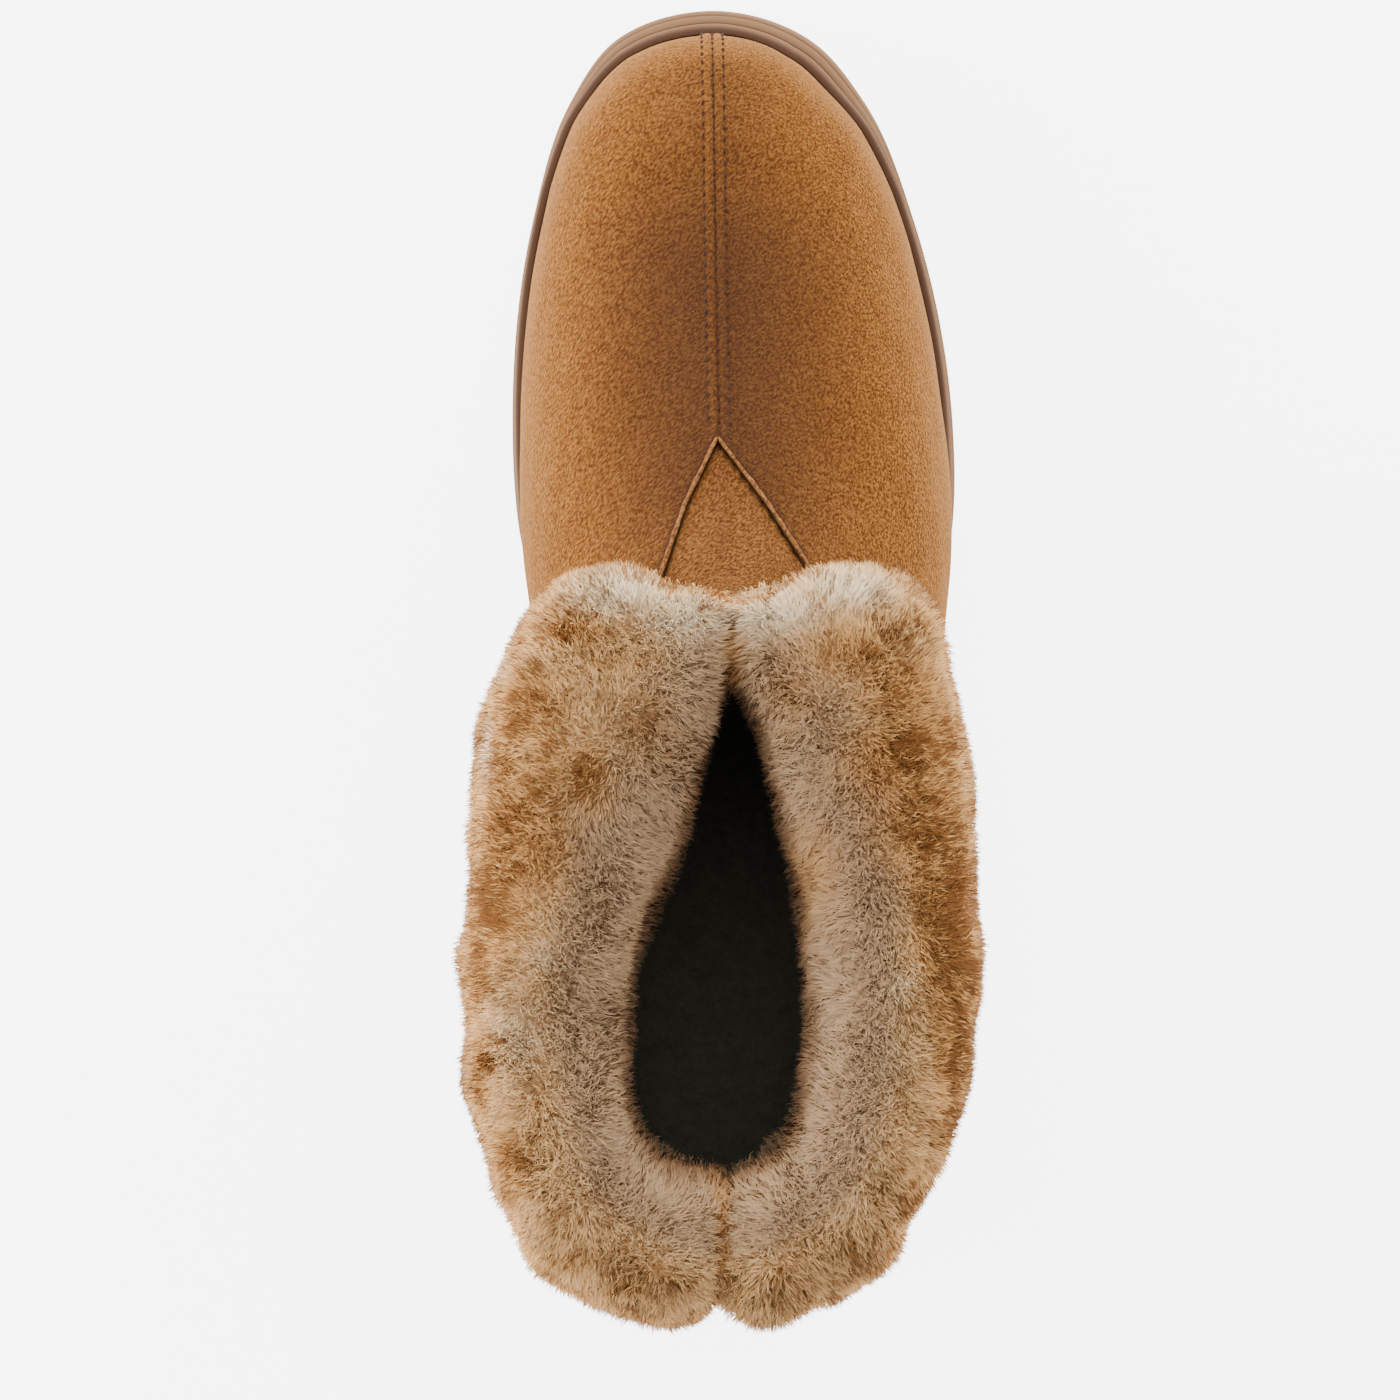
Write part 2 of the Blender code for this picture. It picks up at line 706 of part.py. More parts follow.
def place_at_height(profile, height):
    return float(np.interp(-height, -profile[:, 1], np.arange(len(profile))))


def place_at_radius(profile, radius):
    """The first place from the top where a profile reaches out to a radius, or its end."""
    reached = np.flatnonzero(profile[:, 0] > radius)
    if len(reached) == 0 or reached[0] == 0:
        return float(len(profile) - 1 if len(reached) == 0 else 0)
    last = reached[0] - 1
    inner, outer = profile[last, 0], profile[last + 1, 0]
    return float(last + (radius - inner) / (outer - inner))


def down_to(profile, place):
    """Evenly placed points of a profile from its top down to a place."""
    places = np.linspace(0.0, place, WALL_POINTS)
    rows = np.arange(len(profile))
    return np.column_stack([np.interp(places, rows, profile[:, k]) for k in range(2)])


def cuff_plans():
    """The cuff's outer outline and its opening from above, both sized from the collar."""
    rear, front, medial, lateral = collar_box()
    length = BACK_PILE + front - rear + FRONT_PILE
    width = medial + lateral + 2 * SIDE_PILE
    outline = outline_loop(CUFF_OUTLINE, length, width, width) + (0.0, rear - BACK_PILE)
    width = medial + lateral
    hole = outline_loop(HOLE_OUTLINE, front - rear, width, width) + (0.0, rear)
    return outline, hole


def lock_relief(around, along):
    """Staggered locks of wool: each stands out to its tip and falls back to the root of the next."""
    row = np.floor(along / LOCK_LENGTH)
    across = around / LOCK_WIDTH + 0.5 * (row % 2) + 0.35 * np.sin(1.7 * row + around / LOCK_WIDTH * 0.9)
    crown = np.abs(np.sin(math.pi * across))
    tip = along / LOCK_LENGTH - row
    return LOCK_RELIEF * (crown * (0.45 + 0.55 * np.sin(math.pi * tip ** 1.6)) - 0.55)


def cuff_section(angle, around, grids, loops, axis):
    """One closed section of the cuff as rows of (radius, height)."""
    outer_face, inner_face, gusset_face = grids
    outline, hole = loops
    spec = np.array(CUFF_ROUND)
    hem, inside, crease = smooth(spec[:, 0], spec[:, 1:], [abs(math.degrees(angle))])[0]
    clear = profile_at(outer_face, axis, angle)
    within = profile_at(inner_face, axis, angle)
    edge = clear[0, 1]
    out_radius, hole_radius = at_angle(outline, axis, angle), at_angle(hole, axis, angle)
    # The hem stops where the vamp below it reaches out under the wool's foot
    rest = clear[0, 0] + HEM_REST * (out_radius - clear[0, 0])
    hem_place = place_at_height(clear, edge - hem * CUFF_DEPTH)
    outer_wall = down_to(clear, min(hem_place, place_at_radius(clear, rest)))
    gusset_back = outer_face[-1, :, 1].max() - THROAT_OVERRUN - 2 * GUSSET_LAP
    if axis[1] + outer_wall[-1, 0] * math.cos(angle) > gusset_back:
        within = profile_at(gusset_face, axis, angle)
    inner_wall = down_to(within, place_at_height(within, edge - inside * WOOL_DEPTH_INSIDE))
    crown = edge + CROWN_RISE - CREASE_DEPTH * crease
    reach, height = np.array(CUFF_FORM).T
    radius = np.where(
        reach > 0,
        clear[0, 0] + reach * (out_radius - clear[0, 0]),
        clear[0, 0] - reach * (hole_radius - clear[0, 0]),
    )
    radius[0] = max(radius[0], outer_wall[-1, 0] + HEM_THICKNESS)
    foot = np.where(reach > 0, outer_wall[-1, 1], inner_wall[-1, 1])
    form = np.column_stack([radius, foot + height * (crown - foot)])
    knots = lengths_along(form)
    wool = smooth(knots, form, np.linspace(0.0, knots[-1], CUFF_PROFILE))
    ahead = np.gradient(wool, axis=0)
    normal = np.column_stack([ahead[:, 1], -ahead[:, 0]]) / np.linalg.norm(ahead, axis=1)[:, None]
    fade = np.sin(math.pi * np.linspace(0, 1, CUFF_PROFILE)) ** 0.5
    wool = wool + normal * (lock_relief(around, lengths_along(wool)) * fade)[:, None]
    top = max(edge, within[0, 1]) + WOOL_GAP
    lid = np.array([[within[0, 0], top], [clear[0, 0], top]])
    return np.concatenate([wool, inner_wall[::-1], lid, outer_wall])


def make_cuff(parts, material):
    rear, front, _, _ = collar_box()
    axis = np.array([COLLAR_SHIFT, (rear + front) / 2])
    surface = upper_surface()
    grids = (
        offset_surface(surface, WOOL_GAP + SEAM_RAISE),
        offset_surface(surface, -(UPPER_WALL + WOOL_GAP)),
        offset_surface(surface, -(gusset_depths()[1] + WOOL_GAP)),
    )
    loops = cuff_plans()
    # Angles run from the slit's medial face round the back to its lateral face
    slit = SLIT_WIDTH / 2 / at_angle(loops[0], axis, 0.0)
    angles = np.linspace(slit, 2 * math.pi - slit, 4 * DENSE)
    radii = np.array([at_angle(loops[0], axis, angle) for angle in angles])
    lengths = lengths_along(np.column_stack([radii * np.sin(angles), radii * np.cos(angles)]))
    places = np.linspace(0.0, lengths[-1], CUFF_SECTIONS)
    vertices = []
    for place in places:
        angle = float(np.interp(place, lengths, angles))
        signed = angle if angle <= math.pi else angle - 2 * math.pi
        section = cuff_section(signed, place, grids, loops, axis)
        vertices += [
            (axis[0] - r * math.sin(signed), axis[1] + r * math.cos(signed), z) for r, z in section
        ]
    count = len(vertices) // CUFF_SECTIONS
    faces = grid_faces(CUFF_SECTIONS, count, closed=True)
    faces += [tuple(range(count)), tuple(range((CUFF_SECTIONS - 1) * count, CUFF_SECTIONS * count))]
    made = new_object("cuff", vertices, faces, parts, material)
    face_outwards(made)
    shade(made, 60.0)
    return made


def main():
    for old in list(bpy.data.objects):
        bpy.data.objects.remove(old)
    scene = bpy.context.scene.collection
    parts = bpy.data.collections.new("bootie_slipper")
    cutters = bpy.data.collections.new("cutters")
    scene.children.link(parts)
    scene.children.link(cutters)
    made = [
        make_sole(parts, cutters, finish_of(RUBBER)),
        make_insole(parts, finish_of(SOCK)),
        make_upper(parts, cutters, finish_of(SUEDE)),
        make_gusset(parts, cutters, finish_of(GUSSET_SUEDE)),
        make_cuff(parts, finish_of(WOOL)),
    ]
    origin = bpy.data.objects.new("origin_under_heel", None)
    origin.location = (0.0, -HEEL_REST_Y, 0.0)
    parts.objects.link(origin)
    for piece in made + list(cutters.objects):
        piece.parent = origin


main()
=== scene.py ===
"""Looks of the bootie slipper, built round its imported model: suede, seams, shearling wool, lining and sole.

Metres, in the frame of the model: the origin lies on the floor under the heel, +Y runs to the toe and the
medial side is at -X. The curves of the shoe repeat the model's own tables, so that each piece lies on it.
"""

import math

import bpy
import numpy as np
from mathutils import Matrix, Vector
from mathutils.kdtree import KDTree


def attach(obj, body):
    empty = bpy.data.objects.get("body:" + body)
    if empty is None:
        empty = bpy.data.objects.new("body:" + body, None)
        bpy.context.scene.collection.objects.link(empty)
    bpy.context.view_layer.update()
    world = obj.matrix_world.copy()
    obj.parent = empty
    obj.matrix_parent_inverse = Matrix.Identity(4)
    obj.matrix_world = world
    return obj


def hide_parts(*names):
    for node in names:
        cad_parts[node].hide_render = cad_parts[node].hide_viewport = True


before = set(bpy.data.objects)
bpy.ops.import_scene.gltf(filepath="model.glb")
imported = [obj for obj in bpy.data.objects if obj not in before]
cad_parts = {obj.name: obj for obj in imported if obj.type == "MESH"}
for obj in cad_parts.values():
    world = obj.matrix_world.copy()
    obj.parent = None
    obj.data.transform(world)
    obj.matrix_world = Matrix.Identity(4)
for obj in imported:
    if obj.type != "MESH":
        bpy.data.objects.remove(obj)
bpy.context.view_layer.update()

# Sizes of the shoe that the model's source drives too
SOLE_LENGTH = 0.2960
BALL_WIDTH = 0.107
HEEL_SOLE_THICKNESS = 0.022
BALL_SOLE_THICKNESS = 0.015
TOE_SPRING = 0.009
ARCH_RISE = 0.003
HEEL_BEVEL = 0.0015
HEEL_REST_Y = 0.045
BALL_REST_Y = 0.190
TOE_MARGIN = 0.0100
RIM_RISE = 0.0045
RIM_THICKNESS = 0.0022
SIDE_GROOVE_DEPTH = 0.0007
RIM_GAP = 0.0005
TREAD_GROOVE_WIDTH = 0.0035
TREAD_GROOVE_DEPTH = 0.0022
TREAD_PITCH = 0.0125
TREAD_BORDER = 0.0075
TREAD_WAVE = 0.0025
TREAD_SLOPE = 0.0012
RIB_PITCH = 0.0025
RIB_DEPTH = 0.0003
HEEL_GROOVES = 5
BALL_GROOVES = 10
UPPER_WALL = 0.0020
WAIST_PLACE = 0.42
WAIST_LENGTH = 0.18
COLLAR_RISE = 0.088
COLLAR_SHIFT = 0.0026
SEAM_WIDTH = 0.0050
SEAM_RAISE = 0.0005
GUSSET_WALL = 0.0016
GUSSET_LAP = 0.005
THROAT_LENGTH = 0.0424
THROAT_OVERRUN = 0.0076
THROAT_MEDIAL = 0.0190
THROAT_LATERAL = 0.0275
INSOLE_THICKNESS = 0.006
FRONT_PILE = 0.0131
BACK_PILE = 0.0207
SIDE_PILE = 0.0220
CUFF_DEPTH = 0.0475
WOOL_DEPTH_INSIDE = 0.030
HEM_REST = 0.85
HEM_THICKNESS = 0.0015
CROWN_RISE = 0.016
CREASE_DEPTH = 0.006
FIT_GAP = 0.0003
WOOL_GAP = 0.0010
TOE_CROWDING = 1.25
COLUMN_CROWDING = 0.35
DENSE = 240

# Sizes of the finer detail
SEAM_ROW = 0.00245
SEAM_FURROW = 0.00032
SEAM_SLOPE = 0.0011
SEAM_LINE_WIDTH = 0.00038
ROW_WIDTH = 0.00045
FURROW_WIDTH = 0.00030
STITCH_PITCH = 0.0029
STITCH_LENGTH = 0.0015
STITCH_RADIUS = 0.00031
STITCH_POINTS = 7
SUEDE_WAVE = 0.00022
SUEDE_WAVE_LENGTH = 0.013
EDGE_ROLL = 0.00044
SHADE_WIDTH = 0.036
TOE_SHADE_WIDTH = 0.016
TOE_SHADE_Y = 0.226
TOE_SHADE_LENGTH = 0.036
PILE = 0.0040
CREASE_GAP = 0.0004
BACK_CREASE_X = 0.0010
BACK_CREASE_DEPTH = 0.0028
BACK_CREASE_WIDTH = 0.0022
BACK_CREASE_SLANT = 0.08
SLIT_X = 0.001
SLIT_REACH = 0.0035
HAIR_LENGTH = 0.0053
HAIR_WIDTH = 0.00030
LOCK_SPACING = 0.0014
LOCK_PULL = (0.10, 0.42)
LENGTH_SPREAD = (0.78, 1.10)
WIDTH_SPREAD = (0.7, 1.25)
TOP_DENSITY = 1.35
SIDE_DENSITY = 0.85
DEEP_DENSITY = 0.35
HAIRS = 205000
FUR_PIECES = 4
UPPER_ROWS = 118
GUSSET_ROWS = 90
GUSSET_REACH = 78
LINING_ROWS = 70
INSOLE_ROWS = 150
INSOLE_ACROSS = 40
SIDE_MIDDLE = 140
SOLE_MIDDLE = 330
SOLE_ROWS = 34
SOLE_ACROSS = 48

SOLE_OUTLINE = (
    # along, medial, lateral
    (0.000, 0.000, 0.000),
    (0.030, 0.212, 0.217),
    (0.100, 0.340, 0.345),
    (0.219, 0.375, 0.388),
    (0.368, 0.358, 0.436),
    (0.488, 0.390, 0.484),
    (0.587, 0.450, 0.538),
    (0.667, 0.462, 0.537),
    (0.831, 0.415, 0.449),
    (0.926, 0.331, 0.338),
    (0.974, 0.236, 0.224),
    (1.000, 0.011, -0.011),
)

SOLE_MARGINS = (
    # along, medial, lateral
    (0.000, 0.45, 0.45),
    (0.650, 0.48, 0.54),
    (0.850, 0.46, 0.56),
    (0.905, 0.56, 0.72),
    (0.945, 0.72, 0.94),
    (0.980, 0.94, 1.04),
    (1.000, 1.00, 1.00),
)

SIDE_STEPS = (
    # height, flare, relief
    (0.00, 1.00, 1.8),
    (0.09, 1.00, 0.0),
    (0.40, 0.80, 0.0),
    (0.44, 0.72, 1.0),
    (0.48, 0.66, 0.0),
    (0.55, 0.52, 0.0),
    (0.59, 0.44, 1.0),
    (0.64, 0.34, 0.0),
    (0.78, 0.12, -0.8),
    (0.93, 0.00, 0.0),
    (1.00, 0.00, 1.6),
)

COLLAR_OUTLINE = (
    # along, medial, lateral
    (0.00, 0.00, 0.00),
    (0.04, 0.42, 0.42),
    (0.15, 0.80, 0.80),
    (0.40, 1.00, 1.00),
    (0.65, 0.90, 0.92),
    (0.85, 0.62, 0.66),
    (0.95, 0.34, 0.38),
    (1.00, 0.00, 0.00),
)

UPPER_LEVELS = (
    # rear, front, medial, lateral, rear rise, side rise, front rise, waist, collar
    (0.000, 1.000, 1.000, 1.000, 0.000, 0.000, 0.000, 0.00, 0.00),
    (-0.006, 1.003, 1.008, 1.008, 0.100, 0.100, 0.075, 0.05, 0.00),
    (-0.010, 0.999, 1.018, 1.012, 0.250, 0.240, 0.165, 0.10, 0.00),
    (-0.008, 0.980, 1.000, 0.995, 0.400, 0.380, 0.275, 0.13, 0.02),
    (-0.003, 0.937, 0.955, 0.955, 0.520, 0.495, 0.380, 0.13, 0.06),
    (0.003, 0.862, 0.895, 0.905, 0.610, 0.590, 0.490, 0.11, 0.12),
    (0.009, 0.765, 0.845, 0.845, 0.690, 0.670, 0.600, 0.08, 0.22),
    (0.015, 0.670, 0.810, 0.790, 0.760, 0.740, 0.705, 0.05, 0.36),
    (0.020, 0.590, 0.790, 0.745, 0.830, 0.810, 0.810, 0.03, 0.55),
    (0.025, 0.533, 0.780, 0.715, 0.910, 0.895, 0.925, 0.00, 0.80),
    (0.028, 0.505, 0.780, 0.700, 1.000, 1.000, 1.050, 0.00, 1.00),
)

THROAT_EDGE = (
    # back, medial, lateral
    (0.00, 0.00, 0.00),
    (0.30, 0.42, 0.38),
    (0.62, 0.75, 0.72),
    (1.00, 1.00, 1.00),
)

CUFF_OUTLINE = (
    # along, medial, lateral
    (0.024, -0.020, 0.020),
    (0.006, 0.100, 0.085),
    (0.020, 0.190, 0.160),
    (0.073, 0.334, 0.304),
    (0.170, 0.426, 0.398),
    (0.317, 0.483, 0.474),
    (0.478, 0.492, 0.503),
    (0.645, 0.470, 0.488),
    (0.797, 0.449, 0.466),
    (0.925, 0.380, 0.420),
    (0.985, 0.290, 0.360),
    (1.000, 0.160, 0.240),
    (0.978, 0.050, 0.090),
    (0.962, -0.022, 0.022),
)

HOLE_OUTLINE = (
    # along, medial, lateral
    (0.114, -0.023, 0.023),
    (0.129, 0.144, 0.120),
    (0.177, 0.224, 0.208),
    (0.259, 0.260, 0.252),
    (0.353, 0.268, 0.272),
    (0.474, 0.227, 0.252),
    (0.596, 0.125, 0.216),
    (0.715, 0.064, 0.172),
    (0.815, 0.010, 0.125),
    (0.884, -0.043, 0.043),
)

CUFF_ROUND = (
    # degrees from the front, hem, inside end, crease
    (0.0, 0.28, 0.51, 1.0),
    (7.0, 0.34, 0.55, 0.4),
    (18.0, 0.50, 0.66, 0.0),
    (32.0, 0.74, 0.82, 0.0),
    (60.0, 0.94, 1.00, 0.0),
    (110.0, 1.00, 1.00, 0.0),
    (160.0, 0.95, 1.00, 0.0),
    (174.0, 0.92, 1.00, 0.5),
    (180.0, 0.90, 1.00, 1.0),
)

CUFF_FORM = (
    # reach, height
    (0.70, 0.00),
    (0.93, 0.10),
    (1.00, 0.34),
    (0.97, 0.62),
    (0.80, 0.86),
    (0.38, 0.99),
    (-0.05, 1.00),
    (-0.55, 0.94),
    (-0.90, 0.76),
    (-1.00, 0.45),
    (-0.93, 0.12),
    (-0.72, 0.00),
)

# Patches of the wool seen from above: middle and half sizes in metres, how brown and how light its tips are
WOOL_PATCHES = (
    # x, y, half width, half length, brown, light
    (-0.0416, 0.0839, 0.0058, 0.0068, 0.95, 0.00),
    (-0.0463, 0.0702, 0.0042, 0.0081, 0.90, 0.00),
    (-0.0437, 0.0570, 0.0075, 0.0105, 0.95, 0.00),
    (-0.0480, 0.0426, 0.0059, 0.0110, 1.05, 0.00),
    (-0.0325, 0.0994, 0.0075, 0.0036, 0.74, 0.00),
    (-0.0234, 0.0926, 0.0081, 0.0038, 0.46, 0.00),
    (-0.0274, 0.0702, 0.0042, 0.0059, 0.65, 0.00),
    (-0.0361, 0.0723, 0.0055, 0.0148, 0.60, 0.00),
    (-0.0166, 0.0808, 0.0064, 0.0085, 0.35, 0.00),
    (-0.0505, 0.0289, 0.0030, 0.0097, 0.90, 0.00),
    (-0.0500, 0.0066, 0.0026, 0.0097, 0.85, 0.00),
    (-0.0448, -0.0167, 0.0030, 0.0106, 0.80, 0.00),
    (-0.0336, -0.0341, 0.0085, 0.0025, 0.60, 0.00),
    (-0.0208, -0.0400, 0.0085, 0.0021, 0.55, 0.00),
    (0.0317, 0.0945, 0.0102, 0.0042, 0.65, 0.00),
    (0.0395, 0.0867, 0.0081, 0.0072, 0.75, 0.00),
    (0.0423, 0.0733, 0.0093, 0.0085, 0.95, 0.00),
    (0.0444, 0.0606, 0.0072, 0.0093, 0.90, 0.00),
    (0.0491, 0.0500, 0.0059, 0.0106, 1.15, 0.00),
    (0.0510, 0.0352, 0.0052, 0.0175, 1.35, 0.00),
    (0.0516, 0.0140, 0.0046, 0.0165, 1.35, 0.00),
    (0.0496, -0.0050, 0.0038, 0.0150, 0.85, 0.00),
    (0.0417, -0.0220, 0.0034, 0.0085, 0.65, 0.00),
    (0.0219, 0.0490, 0.0042, 0.0093, 0.45, 0.00),
    (0.0173, 0.0871, 0.0055, 0.0064, 0.35, 0.00),
    (0.0035, 0.0956, 0.0021, 0.0093, 0.75, 0.00),
    (0.0003, -0.0315, 0.0017, 0.0127, 0.60, 0.00),
    (-0.0495, 0.0740, 0.0019, 0.0064, 0.00, 0.70),
    (-0.0425, 0.0130, 0.0065, 0.0100, 0.00, 0.50),
    (-0.0374, 0.0299, 0.0034, 0.0034, 0.00, 0.50),
    (-0.0463, 0.0918, 0.0034, 0.0038, 0.00, 0.50),
    (-0.0208, 0.1075, 0.0110, 0.0048, 0.00, 1.00),
    (-0.0081, 0.1036, 0.0093, 0.0051, 0.00, 1.00),
    (0.0130, 0.1036, 0.0106, 0.0055, 0.00, 1.00),
    (0.0279, 0.1075, 0.0100, 0.0048, 0.00, 1.00),
    (0.0035, 0.1028, 0.0085, 0.0042, 0.00, 0.80),
    (0.0395, 0.0246, 0.0034, 0.0038, 0.00, 0.40),
)

# Colours, linear
CREAM = np.array((0.94, 0.63, 0.31))
BEIGE = np.array((0.56, 0.370, 0.215))
WHITE_WOOL = np.array((1.00, 0.84, 0.58))
HONEY = np.array((0.72, 0.355, 0.105))
TIP_BROWN = np.array((0.18, 0.058, 0.010))
# Painted shade of the wool where it turns down into the opening
RIM_SHADE_BROWN = np.array((0.11, 0.038, 0.010))
# Painted shade: the near-black of the shadowed inside of the shoe
INSIDE_SHADE = np.array((0.050, 0.043, 0.030))
# The suede's painted shade colour
SUEDE_SHADE = (0.038, 0.015, 0.010)
SUEDE_EDGE = (0.480, 0.240, 0.090)


# Curves and outlines


def smoothstep(share):
    share = np.clip(share, 0.0, 1.0)
    return share * share * (3.0 - 2.0 * share)


def bell(distance, width):
    """A smooth bump: 1 at no distance, and falling away within a width."""
    return np.exp(-((distance / width) ** 2))


def smooth(knots, rows, places, period=None):
    """Rows of values read between their knots from a smooth curve. With a period the curve is closed."""
    knots, rows = np.asarray(knots, float), np.asarray(rows, float)
    if period is not None:
        knots = np.concatenate([[knots[-1] - period], knots, [knots[0] + period, knots[1] + period]])
        rows = np.concatenate([rows[-1:], rows, rows[:2]])
    chords = np.diff(rows, axis=0) / np.diff(knots)[:, None]
    before, after = np.diff(knots)[:-1, None], np.diff(knots)[1:, None]
    inner = (chords[:-1] * after + chords[1:] * before) / (before + after)
    slopes = np.concatenate([chords[:1], inner, chords[-1:]])
    places = np.asarray(places, float)
    cell = np.clip(np.searchsorted(knots, places, side="right") - 1, 0, len(knots) - 2)
    width = (knots[cell + 1] - knots[cell])[:, None]
    t = (places - knots[cell])[:, None] / width
    return (
        rows[cell] * (1 + 2 * t) * (1 - t) ** 2
        + rows[cell + 1] * t * t * (3 - 2 * t)
        + slopes[cell] * width * t * (1 - t) ** 2
        + slopes[cell + 1] * width * t * t * (t - 1)
    )


def unit(vectors):
    return vectors / np.maximum(np.linalg.norm(vectors, axis=-1, keepdims=True), 1e-12)


def lengths_along(points):
    steps = np.linalg.norm(np.diff(points, axis=0), axis=1)
    return np.concatenate([[0.0], np.cumsum(steps)])


def outline_loop(table, length, medial_scale, lateral_scale):
    """Closed dense loop (x, y) from a table of (along, medial, lateral), with its front at index DENSE."""
    medial = [(-m * medial_scale, a * length) for a, m, _ in table]
    lateral = [(l * lateral_scale, a * length) for a, _, l in table[-2:0:-1]]
    points = np.array(medial + lateral)
    knots = lengths_along(np.concatenate([points, points[:1]]))
    period, knots = knots[-1], knots[:-1]
    front = knots[len(table) - 1]
    places = np.concatenate(
        [np.linspace(0.0, front, DENSE + 1), np.linspace(front, period, DENSE + 1)[1:-1]]
    )
    return smooth(knots, points, places, period)


def outward(loop):
    ahead = np.roll(loop, -1, axis=0) - np.roll(loop, 1, axis=0)
    return unit(np.stack([-ahead[:, 1], ahead[:, 0]], axis=1))


NEAR_SEAM = np.arange(0.0, 0.0045, 0.0004)
HALF_COLUMNS = 2 * len(NEAR_SEAM) + SIDE_MIDDLE - 1
FINE_COLUMNS = 2 * HALF_COLUMNS


def column_places(total, between):
    """Places of one side's columns: fine steps beside the seams at both ends, wider ones between."""
    share = np.linspace(0.0, 1.0, between + 2)[1:-1]
    share = share - COLUMN_CROWDING * np.sin(2 * math.pi * share) / (2 * math.pi)
    middle = NEAR_SEAM[-1] + (total - 2 * NEAR_SEAM[-1]) * share
    return np.concatenate([NEAR_SEAM, middle, total - NEAR_SEAM[::-1]])


def in_columns(loop, between=SIDE_MIDDLE):
    closed = np.concatenate([loop, loop[:1]])
    sides = []
    for side in (closed[: DENSE + 1], closed[DENSE:]):
        along = lengths_along(side)
        places = column_places(along[-1], between)
        sides.append(np.stack([np.interp(places, along, side[:, k]) for k in range(side.shape[1])], 1))
    return np.concatenate([sides[0], sides[1][1:-1]])


def value_noise(points, size, seed):
    """Smooth noise from -1 to 1 with lumps of a size, the same at each run."""
    table = np.random.default_rng(seed).uniform(-1.0, 1.0, (32, 32, 32))
    cell = points / size + 1000.0
    low = np.floor(cell).astype(int)
    share = smoothstep(cell - low)
    total = np.zeros(len(points))
    for corner in range(8):
        bits = np.array([corner & 1, corner >> 1 & 1, corner >> 2 & 1])
        weight = np.prod(np.where(bits, share, 1 - share), axis=1)
        a, b, c = ((low + bits) % 32).T
        total += weight * table[a, b, c]
    return total


# The shoe's surfaces


def toe_rise(y):
    return TOE_SPRING * np.clip((np.asarray(y) / SOLE_LENGTH - 0.74) / 0.26, 0, 1) ** 1.8


def tread_height(y):
    s = np.asarray(y) / SOLE_LENGTH
    arch = ARCH_RISE * np.sin(math.pi * np.clip((s - 0.30) / 0.24, 0, 1)) ** 2
    back = HEEL_BEVEL * np.clip((0.05 - s) / 0.05, 0, 1) ** 2
    return arch + toe_rise(y) + back


def seat_height(y):
    s = np.asarray(y) / SOLE_LENGTH
    fall = (HEEL_SOLE_THICKNESS - BALL_SOLE_THICKNESS) * smoothstep((s - 0.28) / 0.32)
    return HEEL_SOLE_THICKNESS - fall + toe_rise(y)


def margin(loop):
    along, medial, lateral = np.array(SOLE_MARGINS).T
    place = loop[:, 1] / SOLE_LENGTH
    shares = np.where(loop[:, 0] < 0, np.interp(place, along, medial), np.interp(place, along, lateral))
    return TOE_MARGIN * shares


def sole_loop():
    return outline_loop(SOLE_OUTLINE, SOLE_LENGTH, BALL_WIDTH, BALL_WIDTH)


def feather_loop():
    loop = sole_loop()
    return loop - outward(loop) * margin(loop)[:, None]


def unit_shape(loop):
    rear, front = loop[:, 1].min(), loop[:, 1].max()
    medial, lateral = -loop[:, 0].min(), loop[:, 0].max()
    side = np.where(loop[:, 0] < 0, loop[:, 0] / medial, loop[:, 0] / lateral)
    return side, (loop[:, 1] - rear) / (front - rear), (rear, front, medial, lateral)


def upper_levels():
    side, along, (rear, front, medial, lateral) = unit_shape(feather_loop())
    collar_side, collar_along, _ = unit_shape(outline_loop(COLLAR_OUTLINE, 1.0, 1.0, 1.0))
    length = front - rear
    levels = []
    for back, ahead, wide_m, wide_l, rise_back, rise_side, rise_front, waist, collar in UPPER_LEVELS:
        a = (1 - collar) * along + collar * collar_along
        w = (1 - collar) * side + collar * collar_side
        w = w + np.sign(w) * waist * bell(a - WAIST_PLACE, WAIST_LENGTH)
        x = np.where(w < 0, w * medial * wide_m, w * lateral * wide_l) + COLLAR_SHIFT * collar * a * a
        y = rear + length * (back + a * (ahead - back))
        middle = 2 * rise_side - (rise_back + rise_front) / 2
        rise = (1 - a) ** 2 * rise_back + 2 * a * (1 - a) * middle + a * a * rise_front
        z = seat_height(y) + FIT_GAP + rise * COLLAR_RISE
        levels.append(np.stack([x, y, z], 1))
    return levels


LEVELS = upper_levels()
COLLAR = unit_shape(LEVELS[-1][:, :2])[2]
APEX_Y = COLLAR[1] + THROAT_LENGTH


def upper_surface(rows, between=SIDE_MIDDLE):
    """The upper's outer face as a fine grid (rows, columns, 3), from the feather line to the collar."""
    columns = np.array([in_columns(level, between) for level in LEVELS])
    knots = lengths_along(columns[:, columns.shape[1] // 2])
    places = knots[-1] * np.linspace(0.0, 1.0, rows) ** TOE_CROWDING
    return smooth(knots, columns.reshape(len(columns), -1), places).reshape(rows, columns.shape[1], 3)


def face_normals(grid):
    around = np.roll(grid, -1, axis=1) - np.roll(grid, 1, axis=1)
    return unit(np.cross(np.gradient(grid, axis=0), around))


def throat_lines():
    """The V of the throat from above: its two edges from the apex back, as (medial, lateral)."""
    back, medial, lateral = np.array(THROAT_EDGE).T
    y = APEX_Y - back * (THROAT_LENGTH + THROAT_OVERRUN)
    left = np.column_stack([COLLAR_SHIFT * back - medial * THROAT_MEDIAL, y])
    right = np.column_stack([COLLAR_SHIFT * back + lateral * THROAT_LATERAL, y])
    return left, right


